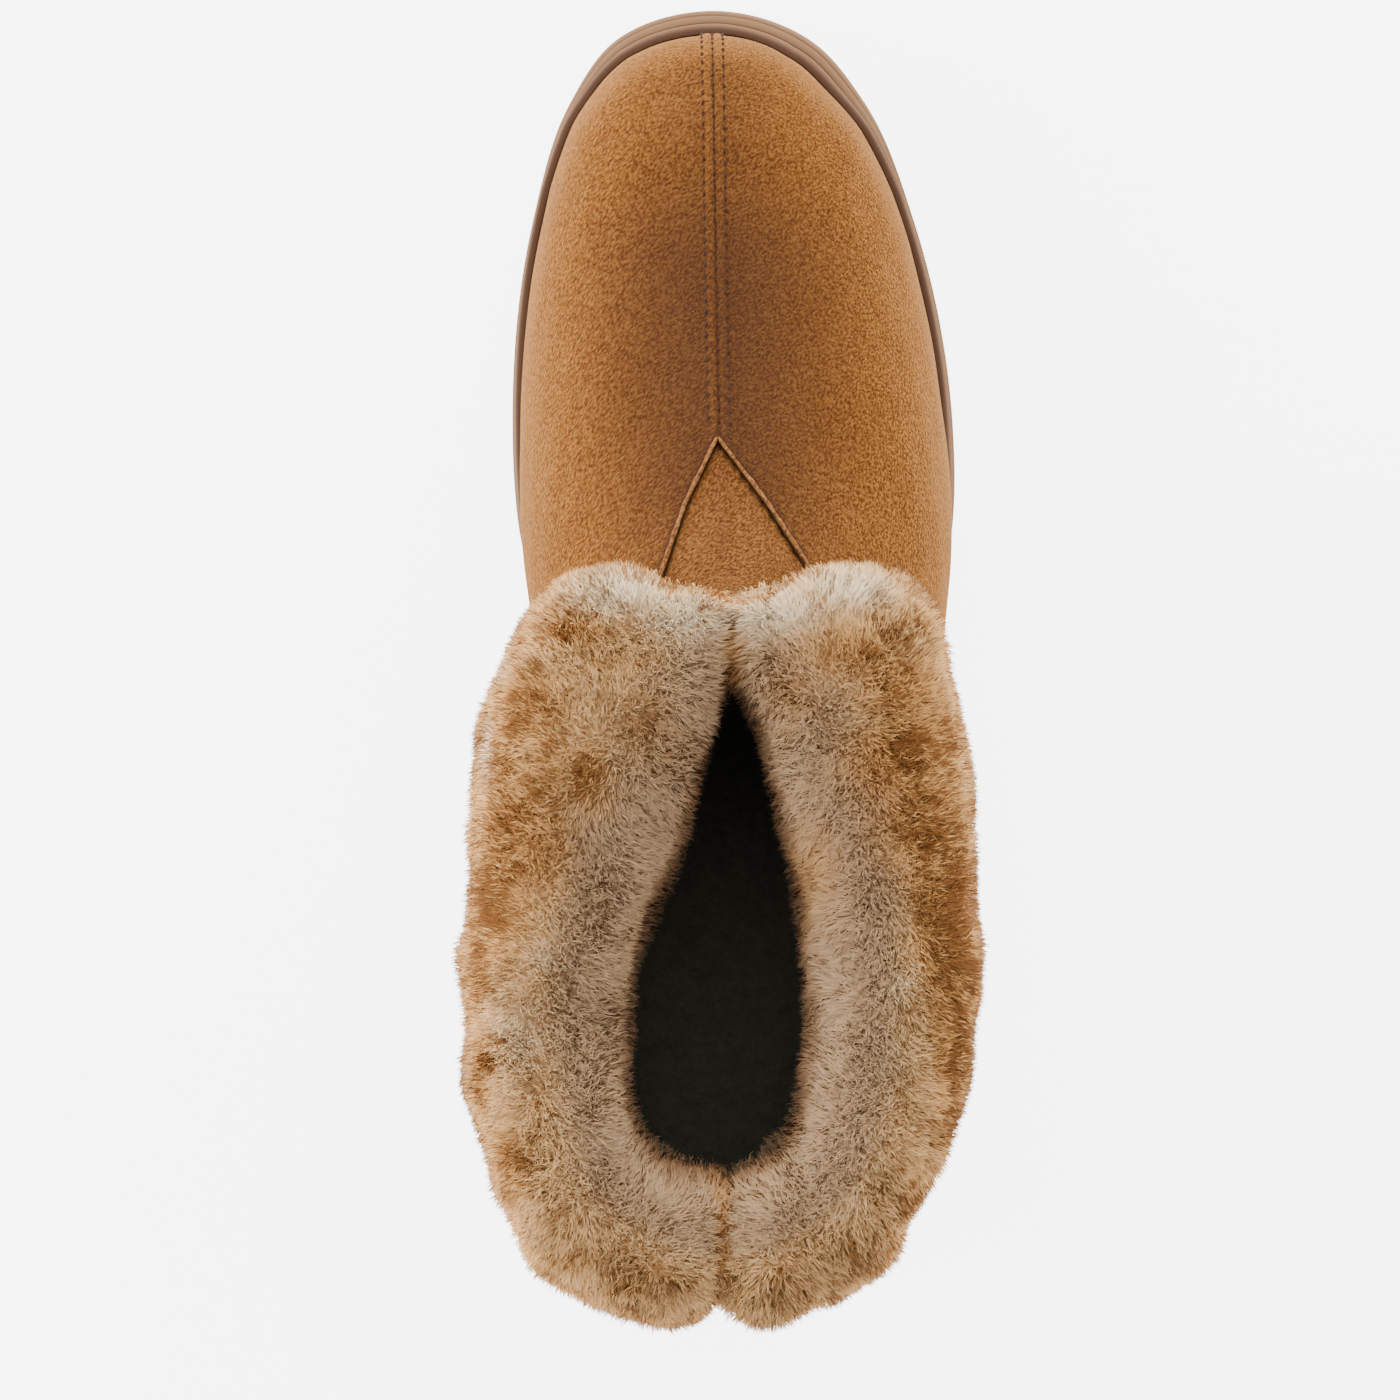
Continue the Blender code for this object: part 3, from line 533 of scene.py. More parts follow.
def nearest_on_line(points, line):
    """Nearest places of points (n, 2) on an open line, and their distances."""
    best, place = np.full(len(points), np.inf), np.zeros_like(points)
    for a, b in zip(line[:-1], line[1:]):
        ahead = b - a
        t = np.clip((points - a) @ ahead / (ahead @ ahead), 0, 1)
        on = a + t[:, None] * ahead
        d = np.linalg.norm(points - on, axis=1)
        place[d < best] = on[d < best]
        best = np.minimum(best, d)
    return place, best


def in_throat(points):
    """Signed distance into the V: positive within it, and the nearest place on its two edges."""
    left, right = throat_lines()
    place_l, d_l = nearest_on_line(points, left)
    place_r, d_r = nearest_on_line(points, right)
    y = points[:, 1]
    x_l = np.interp(y, left[::-1, 1], left[::-1, 0])
    x_r = np.interp(y, right[::-1, 1], right[::-1, 0])
    within = (points[:, 0] > x_l) & (points[:, 0] < x_r) & (y > left[-1, 1]) & (y < left[0, 1])
    nearer = d_l < d_r
    place = np.where(nearer[:, None], place_l, place_r)
    distance = np.minimum(d_l, d_r)
    return np.where(within, distance, -distance), place


# Building meshes


def grid_faces(rows, columns, closed):
    c = np.arange(columns if closed else columns - 1)
    r = np.arange(rows - 1)[:, None]
    n = (c + 1) % columns
    here, above = r * columns, (r + 1) * columns
    return np.stack([here + c, here + n, above + n, above + c], axis=-1).reshape(-1, 4)


def volume_of(vertices, faces):
    """Six times the volume inside closed faces, negative if they face inwards."""
    total = 0.0
    for group in faces:
        first = vertices[group[:, 0]]
        for k in range(1, group.shape[1] - 1):
            total += (first * np.cross(vertices[group[:, k]], vertices[group[:, k + 1]])).sum()
    return total


def mesh_object(name, vertices, faces, material, tint=None, normals=None):
    """A mesh from arrays: vertices, and groups of faces with the same number of corners."""
    vertices = np.asarray(vertices, float)
    if normals is None and volume_of(vertices, faces) < 0:
        faces = [group[:, ::-1] for group in faces]
    mesh = bpy.data.meshes.new(name)
    mesh.vertices.add(len(vertices))
    mesh.vertices.foreach_set("co", vertices.astype(np.float32).ravel())
    loops = np.concatenate([group.ravel() for group in faces])
    sizes = np.concatenate([np.full(len(group), group.shape[1]) for group in faces])
    mesh.loops.add(len(loops))
    mesh.loops.foreach_set("vertex_index", loops.astype(np.int32))
    mesh.polygons.add(len(sizes))
    mesh.polygons.foreach_set("loop_start", (np.cumsum(sizes) - sizes).astype(np.int32))
    mesh.polygons.foreach_set("use_smooth", np.ones(len(sizes), bool))
    mesh.update(calc_edges=True)
    mesh.validate()
    if tint is not None:
        layer = mesh.color_attributes.new("tint", "FLOAT_COLOR", "POINT")
        rgba = np.ones((len(vertices), 4), np.float32)
        rgba[:, :3] = tint
        layer.data.foreach_set("color", rgba.ravel())
    if normals is not None:
        mesh.normals_split_custom_set_from_vertices(normals.astype(np.float32))
    made = bpy.data.objects.new(name, mesh)
    bpy.context.scene.collection.objects.link(made)
    mesh.materials.append(material)
    return made


def walled(name, outer, inner, faces, material, tint):
    """A sheet with a real wall: its outer and inner points with the same faces, joined round each rim."""
    count = len(outer)
    a = faces.ravel()
    b = np.roll(faces, -1, axis=1).ravel()
    keys, back = a.astype(np.int64) * count + b, b.astype(np.int64) * count + a
    open_edge = ~np.isin(keys, back)
    a, b = a[open_edge], b[open_edge]
    rim = np.stack([b, a, count + a, count + b], axis=1)
    quads = np.concatenate([faces, count + faces[:, ::-1], rim])
    used = np.unique(quads)
    number = np.full(2 * count, -1)
    number[used] = np.arange(len(used))
    vertices = np.concatenate([outer, inner])[used]
    # The inner face gets the tint's full blue, which the suede materials paint as the inside's dark shade
    both = np.concatenate([tint, np.tile((0.0, 0.0, 1.0), (count, 1))])
    return mesh_object(name, vertices, [number[quads]], material, tint=both[used])


def tube(path, radius, sides, squash, up=(0.0, 0.0, 1.0)):
    """Vertices, side faces and end faces of a closed tube along a path."""
    path = np.asarray(path, float)
    ahead = unit(np.gradient(path, axis=0))
    side = unit(np.cross(ahead, np.broadcast_to(up, path.shape)))
    top = unit(np.cross(side, ahead))
    radius = np.broadcast_to(radius, len(path))[:, None, None]
    turn = np.linspace(0, 2 * math.pi, sides, endpoint=False)[None, :, None]
    ring = path[:, None] + (side[:, None] * np.cos(turn) + top[:, None] * np.sin(turn) * squash) * radius
    last = (len(path) - 1) * sides + np.arange(sides)
    caps = np.stack([np.arange(sides)[::-1], last])
    return ring.reshape(-1, 3), grid_faces(len(path), sides, True), caps


# Materials


def link(tree, start, end):
    tree.links.new(start, end)


def node(tree, kind, **values):
    made = tree.nodes.new(kind)
    for key, value in values.items():
        if key in made.inputs:
            made.inputs[key].default_value = value
        else:
            setattr(made, key, value)
    return made


def new_material(name, roughness, specular=0.5, sheen=0.0, sheen_roughness=0.5, sheen_tint=(1.0, 1.0, 1.0)):
    made = bpy.data.materials.new(name)
    made.use_nodes = True
    shader = made.node_tree.nodes["Principled BSDF"]
    shader.inputs["Roughness"].default_value = roughness
    shader.inputs["Specular IOR Level"].default_value = specular
    shader.inputs["Sheen Weight"].default_value = sheen
    shader.inputs["Sheen Roughness"].default_value = sheen_roughness
    shader.inputs["Sheen Tint"].default_value = (*sheen_tint, 1.0)
    return made, made.node_tree, shader


def tint_colour(tree):
    return node(tree, "ShaderNodeAttribute", attribute_name="tint").outputs["Color"]


def tint_shares(tree):
    """The tint's red, green and blue, each a share of some other colour."""
    parts = node(tree, "ShaderNodeSeparateColor")
    link(tree, tint_colour(tree), parts.inputs["Color"])
    return parts.outputs


def noise(tree, size, detail=3.0, roughness=0.55, stretch=1.0):
    """A noise texture in the shoe's own coordinates: lumps of a size in metres, drawn out along a slant."""
    place = node(tree, "ShaderNodeTexCoord")
    slant = node(tree, "ShaderNodeMapping", vector_type="TEXTURE")
    slant.inputs["Rotation"].default_value = (0.0, 0.0, -0.6)
    slant.inputs["Scale"].default_value = (1.0, stretch, 1.0)
    link(tree, place.outputs["Object"], slant.inputs["Vector"])
    made = node(tree, "ShaderNodeTexNoise", Scale=1.0 / size, Detail=detail, Roughness=roughness)
    link(tree, slant.outputs["Vector"], made.inputs["Vector"])
    return made.outputs["Fac"]


def ramp(tree, value, *stops):
    made = node(tree, "ShaderNodeValToRGB")
    elements = made.color_ramp.elements
    while len(elements) < len(stops):
        elements.new(0.5)
    for element, (place, colour) in zip(elements, stops):
        element.position = place
        element.color = (*colour, 1.0)
    link(tree, value, made.inputs["Fac"])
    return made.outputs["Color"]


def mixed(tree, kind, share, first, second):
    made = node(tree, "ShaderNodeMix", data_type="RGBA", blend_type=kind)
    for value, socket in ((share, 0), (first, 6), (second, 7)):
        if hasattr(value, "links"):
            link(tree, value, made.inputs[socket])
        else:
            made.inputs[socket].default_value = value if socket == 0 else (*value, 1.0)
    return made.outputs[2]


def bumped(tree, shader, *layers):
    """Bump on bump: each layer is a height, its strength and its depth in metres."""
    normal = None
    for height, strength, depth in layers:
        made = node(tree, "ShaderNodeBump", Strength=strength, Distance=depth)
        link(tree, height, made.inputs["Height"])
        if normal is not None:
            link(tree, normal, made.inputs["Normal"])
        normal = made.outputs["Normal"]
    link(tree, normal, shader.inputs["Normal"])


def suede(name, light, middle, dark):
    """Napped suede: brushed flecks over soft blotches, with painted shade where the tint's red and blue say
    so, pale at its edges.
    """
    made, tree, shader = new_material(name, 0.95, 0.08, 0.25, 0.45, (1.0, 0.54, 0.16))
    fleck = noise(tree, 0.00050, 1.5, 0.60, 2.0)
    blotch = noise(tree, 0.020, 3.0, 0.5)
    colour = ramp(tree, fleck, (0.34, dark), (0.50, middle), (0.66, light))
    shade = ramp(tree, blotch, (0.30, (0.93, 0.91, 0.89)), (0.70, (1.0, 1.0, 1.0)))
    colour = mixed(tree, "MULTIPLY", 1.0, colour, shade)
    # The tint's red mixes in the painted shade, its green the pale edge, its blue the inside's painted dark
    # shade
    for share, other in zip(tint_shares(tree), (SUEDE_SHADE, SUEDE_EDGE, INSIDE_SHADE)):
        colour = mixed(tree, "MIX", share, colour, other)
    link(tree, colour, shader.inputs["Base Color"])
    bumped(tree, shader, (noise(tree, 0.0032, 3.0), 0.14, 0.0006), (fleck, 1.0, 0.0007))
    return made


def wool_material():
    """Soft fibres that also let light through, coloured by the tint."""
    made, tree, shader = new_material("wool_fibre", 0.9, 0.10, 0.10, 0.5, (1.0, 0.80, 0.55))
    flock = ramp(tree, noise(tree, 0.0035, 2.0), (0.30, (0.92, 0.90, 0.87)), (0.70, (1.0, 1.0, 1.0)))
    colour = mixed(tree, "MULTIPLY", 1.0, tint_colour(tree), flock)
    link(tree, colour, shader.inputs["Base Color"])
    through = node(tree, "ShaderNodeBsdfTranslucent")
    link(tree, colour, through.inputs["Color"])
    both = node(tree, "ShaderNodeMixShader", Fac=0.15)
    link(tree, shader.outputs["BSDF"], both.inputs[1])
    link(tree, through.outputs["BSDF"], both.inputs[2])
    link(tree, both.outputs["Shader"], tree.nodes["Material Output"].inputs["Surface"])
    return made


def lining_material(name, low, high):
    made, tree, shader = new_material(name, 1.0, 0.03)
    curl = noise(tree, 0.0030, 3.0, 0.6)
    link(tree, ramp(tree, curl, (0.3, low), (0.7, high)), shader.inputs["Base Color"])
    bumped(tree, shader, (curl, 0.8, 0.0012))
    return made


def rubber_material(light, dark, groove):
    """Matt moulded rubber, with painted shade where the tint marks it: in grooves, up the rim and along its
    edges.
    """
    made, tree, shader = new_material("moulded_rubber", 0.90, 0.02)
    colour = ramp(tree, noise(tree, 0.018, 3.0), (0.3, dark), (0.7, light))
    colour = mixed(tree, "MIX", tint_shares(tree)[0], colour, groove)
    link(tree, colour, shader.inputs["Base Color"])
    bumped(tree, shader, (noise(tree, 0.0007, 2.0), 0.35, 0.00015))
    return made


def thread_material(name, low, high):
    made, tree, shader = new_material(name, 0.85, 0.15)
    link(tree, ramp(tree, noise(tree, 0.0012, 2.0), (0.3, low), (0.7, high)), shader.inputs["Base Color"])
    twist = node(tree, "ShaderNodeTexWave", Scale=900.0, Distortion=1.0)
    place = node(tree, "ShaderNodeTexCoord")
    link(tree, place.outputs["Object"], twist.inputs["Vector"])
    bumped(tree, shader, (twist.outputs["Fac"], 0.4, 0.0001))
    return made


SUEDE = suede("suede_nap", (0.286, 0.117, 0.0255), (0.178, 0.064, 0.0121), (0.088, 0.026, 0.0040))
GUSSET_SUEDE = suede("gusset_nap", (0.260, 0.108, 0.033), (0.158, 0.060, 0.0162), (0.080, 0.026, 0.0058))
WOOL = wool_material()
# Painted shade: the lining and footbed pile are near-black for the shade inside the shoe, the footbed a
# little lighter than the walls
LINING = lining_material("painted_shade_pile", (0.024, 0.023, 0.015), (0.044, 0.042, 0.030))
FOOTBED = lining_material("painted_shade_footbed", (0.056, 0.054, 0.039), (0.071, 0.069, 0.049))
# The last colour is the rubber's painted shade
RUBBER = rubber_material((0.188, 0.105, 0.057), (0.166, 0.090, 0.048), (0.030, 0.013, 0.007))
THREAD = thread_material("dark_thread", (0.030, 0.012, 0.006), (0.060, 0.024, 0.012))
ROLL = suede("rolled_edge", (0.357, 0.165, 0.066), (0.247, 0.102, 0.036), (0.128, 0.047, 0.0136))


def to_row(points):
    return points - (0.0, HEEL_REST_Y, 0.0)


def rides(piece):
    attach(piece, "root")


def tint_of(red, green=0.0, blue=0.0):
    return np.column_stack(np.broadcast_arrays(red, green, blue))


# The upper


def seam_profile(distance):
    """Height of the sewn seam over the suede at a distance from its line."""
    height = SEAM_RAISE * (1 - smoothstep((np.abs(distance) - SEAM_WIDTH / 2 + 0.0002) / SEAM_SLOPE))
    height = height - 1.6 * SEAM_FURROW * bell(distance, SEAM_LINE_WIDTH)
    for row in (-SEAM_ROW, SEAM_ROW):
        height = height - SEAM_FURROW * bell(distance - row, ROW_WIDTH)
    return height


# Soft hollows and ridges of the worn suede: middle, half sizes across and along it, and height
SOFT_FORMS = (
    # x, y, z, half width, half length, height, in metres
    (-0.030, 0.175, 0.055, 0.010, 0.030, -0.0007),
    (0.036, 0.180, 0.052, 0.010, 0.034, -0.0007),
    (-0.040, 0.125, 0.070, 0.012, 0.022, 0.0006),
    (0.046, 0.132, 0.066, 0.012, 0.024, 0.0006),
    (0.000, 0.215, 0.058, 0.020, 0.012, 0.0005),
    (-0.020, 0.150, 0.083, 0.009, 0.020, -0.0005),
    (0.024, 0.152, 0.082, 0.009, 0.020, -0.0005),
    (-0.048, 0.020, 0.060, 0.020, 0.012, -0.0008),
    (0.052, 0.030, 0.058, 0.020, 0.012, -0.0008),
    (-0.034, -0.030, 0.058, 0.012, 0.012, -0.0006),
    (0.036, -0.030, 0.058, 0.012, 0.012, -0.0006),
)


def seam_distance(grid):
    """Signed distance of each column from the nearest seam line, along its row."""
    step = np.linalg.norm(np.diff(grid, axis=1, append=grid[:, :1]), axis=2)
    along = np.cumsum(step, axis=1) - step
    total = along[:, -1:] + step[:, -1:]
    front = along - along[:, HALF_COLUMNS : HALF_COLUMNS + 1]
    back = np.where(along > total / 2, along - total, along)
    return np.where(np.abs(front) < np.abs(back), front, back)


def dressed_surface(rows):
    """The upper's outer face with its seams, furrows and soft forms, and its unit normals."""
    grid = upper_surface(rows)
    normal = face_normals(grid)
    distance = seam_distance(grid)
    height = seam_profile(distance)
    row_points = to_row(grid)
    for x, y, z, wide, long, rise in SOFT_FORMS:
        d = (row_points - (x, y, z)) / (wide, long, wide)
        height = height + rise * np.exp(-(d ** 2).sum(axis=2))
    flat = row_points.reshape(-1, 3)
    height = height + SUEDE_WAVE * value_noise(flat, SUEDE_WAVE_LENGTH, 3).reshape(height.shape)
    return grid + normal * height[:, :, None], normal, distance


def cut_throat(outer, inner, normal):
    """The faces outside the V, the points beside it moved onto its edges, and each point's depth in it."""
    rows, columns = outer.shape[:2]
    outer, inner = outer.reshape(-1, 3).copy(), inner.reshape(-1, 3).copy()
    depth, place = in_throat(outer[:, :2])
    quads = grid_faces(rows, columns, True)[:, ::-1]
    kept = quads[(depth[quads] <= 0).any(axis=1)]
    snapped = np.unique(kept[depth[kept] > 0])
    move = place[snapped] - outer[snapped, :2]
    n = normal.reshape(-1, 3)[snapped]
    drop = -(n[:, :2] * move).sum(axis=1) / np.maximum(n[:, 2], 0.3)
    for points in (outer, inner):
        points[snapped] += np.column_stack([move, drop])
    return outer, inner, kept, depth.reshape(rows, columns)


def suede_shade(outer, normal, distance, depth):
    """Painted shade on the suede, as a share: on its upward-facing top beside the centre seam, in its
    furrows, along the V and low at the sole's rim.
    """
    toe = smoothstep((outer[:, :, 1] - TOE_SHADE_Y) / TOE_SHADE_LENGTH)
    # Painted shade: the vamp's upward-facing top beside the centre seam is darker, weaker and narrower
    # towards the toe
    centre = (0.76 - 0.36 * toe) * smoothstep((normal[:, :, 2] - 0.55) / 0.45)
    centre = centre * bell(distance, SHADE_WIDTH - (SHADE_WIDTH - TOE_SHADE_WIDTH) * toe)
    # Painted light: on one side of the seam the shade is lifted, as on the raised side of a lapped seam
    centre = centre - 0.10 * (distance < 0) * (np.abs(distance) < SEAM_ROW)
    # Painted shade in the seam's furrows and along the edge of the V
    furrow = 0.45 * bell(distance, FURROW_WIDTH) + 0.45 * bell(np.abs(depth) - 0.0007, 0.0005)
    for row in (-SEAM_ROW, SEAM_ROW):
        furrow = furrow + 0.25 * bell(distance - row, FURROW_WIDTH)
    # Painted shade along the lowest rows, where the upper meets the sole's rim
    foot = np.linspace(0, 1, len(outer))[:, None]
    return np.maximum(np.clip(centre + furrow, 0, 0.8), 0.35 * bell(foot, 0.012)).ravel()


def make_upper():
    outer, normal, distance = dressed_surface(UPPER_ROWS)
    inner = upper_surface(UPPER_ROWS) - normal * UPPER_WALL
    cut_outer, cut_inner, kept, depth = cut_throat(outer, inner, normal)
    tint = tint_of(suede_shade(outer, normal, distance, depth))
    made = walled("upper_suede", to_row(cut_outer), to_row(cut_inner), kept, SUEDE, tint)
    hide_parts("upper")
    rides(made)
    return outer, normal


SURFACE, SURFACE_NORMAL = make_upper()


def surface_at(row, column):
    """Points and normals of the dressed surface at fractional rows and columns."""
    row = np.clip(np.asarray(row, float), 0, len(SURFACE) - 1.001)
    column = np.asarray(column, float) % FINE_COLUMNS
    r, c = row.astype(int), column.astype(int)
    n = (c + 1) % FINE_COLUMNS
    fr, fc = (row - r)[:, None], (column - c)[:, None]
    found = []
    for grid in (SURFACE, SURFACE_NORMAL):
        low = grid[r, c] * (1 - fc) + grid[r, n] * fc
        high = grid[r + 1, c] * (1 - fc) + grid[r + 1, n] * fc
        found.append(low * (1 - fr) + high * fr)
    return found[0], unit(found[1])


def stitch_rows(name, seam_column, offsets, first, last):
    """Rows of short stitches beside a seam, each sunk with its ends into the suede."""
    vertices, quads, caps, count = [], [], [], 0
    step = NEAR_SEAM[1]
    for number, offset in enumerate(offsets):
        line = np.linspace(first, last, 400)
        points, _ = surface_at(line, np.full(400, seam_column + offset / step))
        lengths = lengths_along(points)
        starts = np.arange(0.4 * number * STITCH_PITCH / 2 + 0.001, lengths[-1] - STITCH_LENGTH, STITCH_PITCH)
        for start in starts:
            share = np.linspace(0, 1, STITCH_POINTS)
            places = start + STITCH_LENGTH * share
            rows = np.interp(places, lengths, line)
            on, normal = surface_at(rows, np.full(STITCH_POINTS, seam_column + offset / step))
            arch = np.sin(math.pi * share)
            path = on + normal * (STITCH_RADIUS * (1.5 * arch - 0.75))[:, None]
            ring, sides, ends = tube(to_row(path), STITCH_RADIUS * (0.55 + 0.45 * arch), 8, 0.8, normal)
            vertices.append(ring)
            quads.append(sides + count)
            caps.append(ends + count)
            count += len(ring)
    faces = [np.concatenate(quads), np.concatenate(caps)]
    rides(mesh_object(name, np.concatenate(vertices), faces, THREAD))


def row_at(y):
    """The row in which the front line reaches a place along the last."""
    line = SURFACE[:, HALF_COLUMNS, 1]
    return float(np.interp(-y, -line, np.arange(len(line))))


stitch_rows("toe_seam_stitches", HALF_COLUMNS, (-SEAM_ROW, 0.0, SEAM_ROW), 1.2, row_at(APEX_Y + 0.0012))
stitch_rows("heel_seam_stitches", 0, (-SEAM_ROW, SEAM_ROW), 3.0, 0.62 * UPPER_ROWS)


def height_over(points):
    """Heights of the dressed upper's top face over plan points, by its nearest grid points."""
    picked = SURFACE[8:, HALF_COLUMNS - 90 : HALF_COLUMNS + 91].reshape(-1, 3)
    tree = KDTree(len(picked))
    for number, (x, y, _) in enumerate(picked):
        tree.insert((x, y, 0.0), number)
    tree.balance()
    heights = []
    for x, y in points:
        near = tree.find_n((x, y, 0.0), 4)
        weight = np.array([1.0 / (found[2] + 1e-5) for found in near])
        heights.append(sum(w * picked[found[1], 2] for w, found in zip(weight, near)) / weight.sum())
    return np.array(heights)


def make_throat_edge():
    """The rolled edge of the suede along the V."""
    left, right = throat_lines()
    line = np.concatenate([left[::-1], right[1:]])
    along = lengths_along(line)
    places = np.linspace(0, along[-1], 260)
    plan = np.column_stack([np.interp(places, along, line[:, k]) for k in range(2)])
    for _ in range(3):
        plan[1:-1] = 0.25 * plan[:-2] + 0.5 * plan[1:-1] + 0.25 * plan[2:]
    z = height_over(plan)
    z = np.convolve(np.pad(z, 6, mode="edge"), np.ones(13) / 13, mode="valid")
    wobble = value_noise(np.column_stack([places, places * 0, places * 0]), 0.0022, 9)
    path = np.column_stack([plan, z + 0.00012])
    ring, sides, ends = tube(to_row(path), EDGE_ROLL * (1 + 0.22 * wobble), 12, 0.9)
    rough = value_noise(ring, 0.0012, 12)
    ring = ring + 0.00008 * rough[:, None]
    tint = tint_of(np.clip(0.12 - 0.3 * rough, 0, 0.4))
    rides(mesh_object("throat_rolled_edge", ring, [sides, ends], ROLL, tint=tint))


make_throat_edge()


def make_gusset():
    """The V panel: soft suede that dips to its seam and crowns a little down its middle."""
    grid = upper_surface(GUSSET_ROWS)
    first = np.flatnonzero(grid[:, HALF_COLUMNS, 1] < APEX_Y + 0.004)[0]
    middle = slice(HALF_COLUMNS - GUSSET_REACH, HALF_COLUMNS + GUSSET_REACH + 1)
    part, part_normal = grid[first:, middle], face_normals(grid)[first:, middle]
    depth, _ = in_throat(part.reshape(-1, 3)[:, :2])
    depth = depth.reshape(part.shape[:2])
    sunk = UPPER_WALL + FIT_GAP - 0.0014 * smoothstep(depth / 0.0010) - 0.0004 * smoothstep(depth / 0.007)
    sunk = sunk + 0.00015 * value_noise(part.reshape(-1, 3), 0.008, 5).reshape(depth.shape)
    outer = part - part_normal * sunk[:, :, None]
    inner = part - part_normal * (UPPER_WALL + FIT_GAP + GUSSET_WALL)
    quads = grid_faces(*part.shape[:2], False)
    kept = quads[(depth.ravel()[quads] > -0.8 * GUSSET_LAP).all(axis=1)]
    # Painted shade: darker beside the V's seam, and a little down the panel's upward-facing middle
    painted_seam_shade = 0.60 * bell(np.maximum(depth, 0), 0.0007)
    painted_middle_shade = 0.12 * bell(part[:, :, 0] - 0.0008, 0.0042)
    to_top = part[:, :, 1] - part[-1:, :, 1]
    pale = 0.5 * bell(to_top, 0.0012) * (depth > 0.002)
    tint = tint_of(np.maximum(painted_seam_shade, painted_middle_shade).ravel(), pale.ravel())
    outer, inner = to_row(outer.reshape(-1, 3)), to_row(inner.reshape(-1, 3))
    made = walled("gusset_suede", outer, inner, kept, GUSSET_SUEDE, tint)
    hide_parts("gusset")
    rides(made)


make_gusset()


# Lining, insole and sole


def curls(points, seed):
    """Small curls of pile, from -1 to 1."""
    return 0.6 * value_noise(points, 0.0045, seed) + 0.4 * value_noise(points, 0.0022, seed + 1)


def make_lining():
    """Short pile inside the upper, painted near-black as the shade inside the shoe, from the feather line up
    under the collar and below the gusset.
    """
    grid = upper_surface(LINING_ROWS)[:, ::2]
    normal = face_normals(grid)
    flat = grid.reshape(-1, 3)
    throat, _ = in_throat(flat[:, :2])
    under_gusset = throat.reshape(grid.shape[:2]) > -GUSSET_LAP - 0.002
    back = UPPER_WALL + 0.0004 + (GUSSET_WALL + 2 * FIT_GAP + 0.0006) * under_gusset
    face = back + 0.0038 + 0.0010 * curls(flat, 21).reshape(grid.shape[:2])
    sheets = [to_row((grid - normal * depth[:, :, None]).reshape(-1, 3)) for depth in (back, face)]
    kept = grid_faces(LINING_ROWS, grid.shape[1], True)[: -6 * grid.shape[1]]
    rides(walled("pile_lining", *sheets, kept, LINING, np.zeros((len(flat), 3))))


make_lining()


def make_insole():
    """The insole's pad under pile painted dark as the shade inside the shoe, with curls on its top face."""
    loop = feather_loop()
    plan = loop - outward(loop) * (UPPER_WALL + 2 * FIT_GAP)
    medial, lateral = plan[: DENSE + 1], np.concatenate([plan[DENSE:], plan[:1]])[::-1]
    rear, front = plan[:, 1].min(), plan[:, 1].max()
    y = rear + (front - rear) * (1 - np.cos(math.pi * np.linspace(0.004, 0.996, INSOLE_ROWS))) / 2
    left, right = (np.interp(y, side[:, 1], side[:, 0])[:, None] for side in (medial, lateral))
    t = (1 - np.cos(math.pi * np.linspace(0, 1, INSOLE_ACROSS))) / 2
    x = left + (right - left) * t
    yy = np.broadcast_to(y[:, None], x.shape)
    low = np.stack([x, yy, seat_height(yy) + FIT_GAP], axis=2).reshape(-1, 3)
    crown = np.sqrt(np.clip(4 * t * (1 - t), 0, 1))
    top = low.copy()
    top[:, 2] += INSOLE_THICKNESS * (0.86 + 0.14 * np.tile(crown, INSOLE_ROWS)) + 0.0006 * curls(low, 31)
    quads = grid_faces(INSOLE_ROWS, INSOLE_ACROSS, False)[:, ::-1]
    made = walled("insole_pile", to_row(top), to_row(low), quads, FOOTBED, np.zeros((len(low), 3)))
    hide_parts("insole")
    rides(made)


make_insole()


def rim_inside_loops():
    """The rim's inner wall, a clearance outside the upper that stands in it, down to the seat."""
    grid = upper_surface(24, SOLE_MIDDLE)
    clear = grid + face_normals(grid) * RIM_GAP
    heights = clear[:, :, 2] - seat_height(clear[:, :, 1])
    marks = np.arange(len(clear))
    loops = []
    for rise in (RIM_RISE, 0.0):
        picked = []
        for c in range(clear.shape[1]):
            place = np.interp(rise, heights[:, c], marks)
            picked.append([np.interp(place, marks, clear[:, c, k]) for k in range(2)])
        plan = np.array(picked)
        loops.append(np.column_stack([plan, seat_height(plan[:, 1]) + rise]))
    return loops


def tread_wave(x):
    return TREAD_WAVE * np.cos(x / BALL_WIDTH * 4 * math.pi)


def tread_depth(points, to_edge):
    """How deep the wavy cross grooves and the fine ribs between them go at places of the underside."""
    y = points[:, 1] - tread_wave(points[:, 0])
    places = [BALL_REST_Y + (n - BALL_GROOVES // 2 + 1.5) * TREAD_PITCH for n in range(BALL_GROOVES)]
    places += [HEEL_REST_Y + (n - HEEL_GROOVES // 2 + 0.5) * TREAD_PITCH for n in range(HEEL_GROOVES)]
    nearest = np.min([np.abs(y - place) for place in places], axis=0)
    groove = 1 - smoothstep((nearest - TREAD_GROOVE_WIDTH / 2 + TREAD_SLOPE / 2) / TREAD_SLOPE)
    within = smoothstep((to_edge - TREAD_BORDER) / TREAD_SLOPE)
    ribs = RIB_DEPTH * smoothstep(np.cos(y / RIB_PITCH * 2 * math.pi) + 0.5) * (nearest < TREAD_PITCH / 2)
    return (TREAD_GROOVE_DEPTH * groove + ribs * (1 - groove)) * within, groove * within


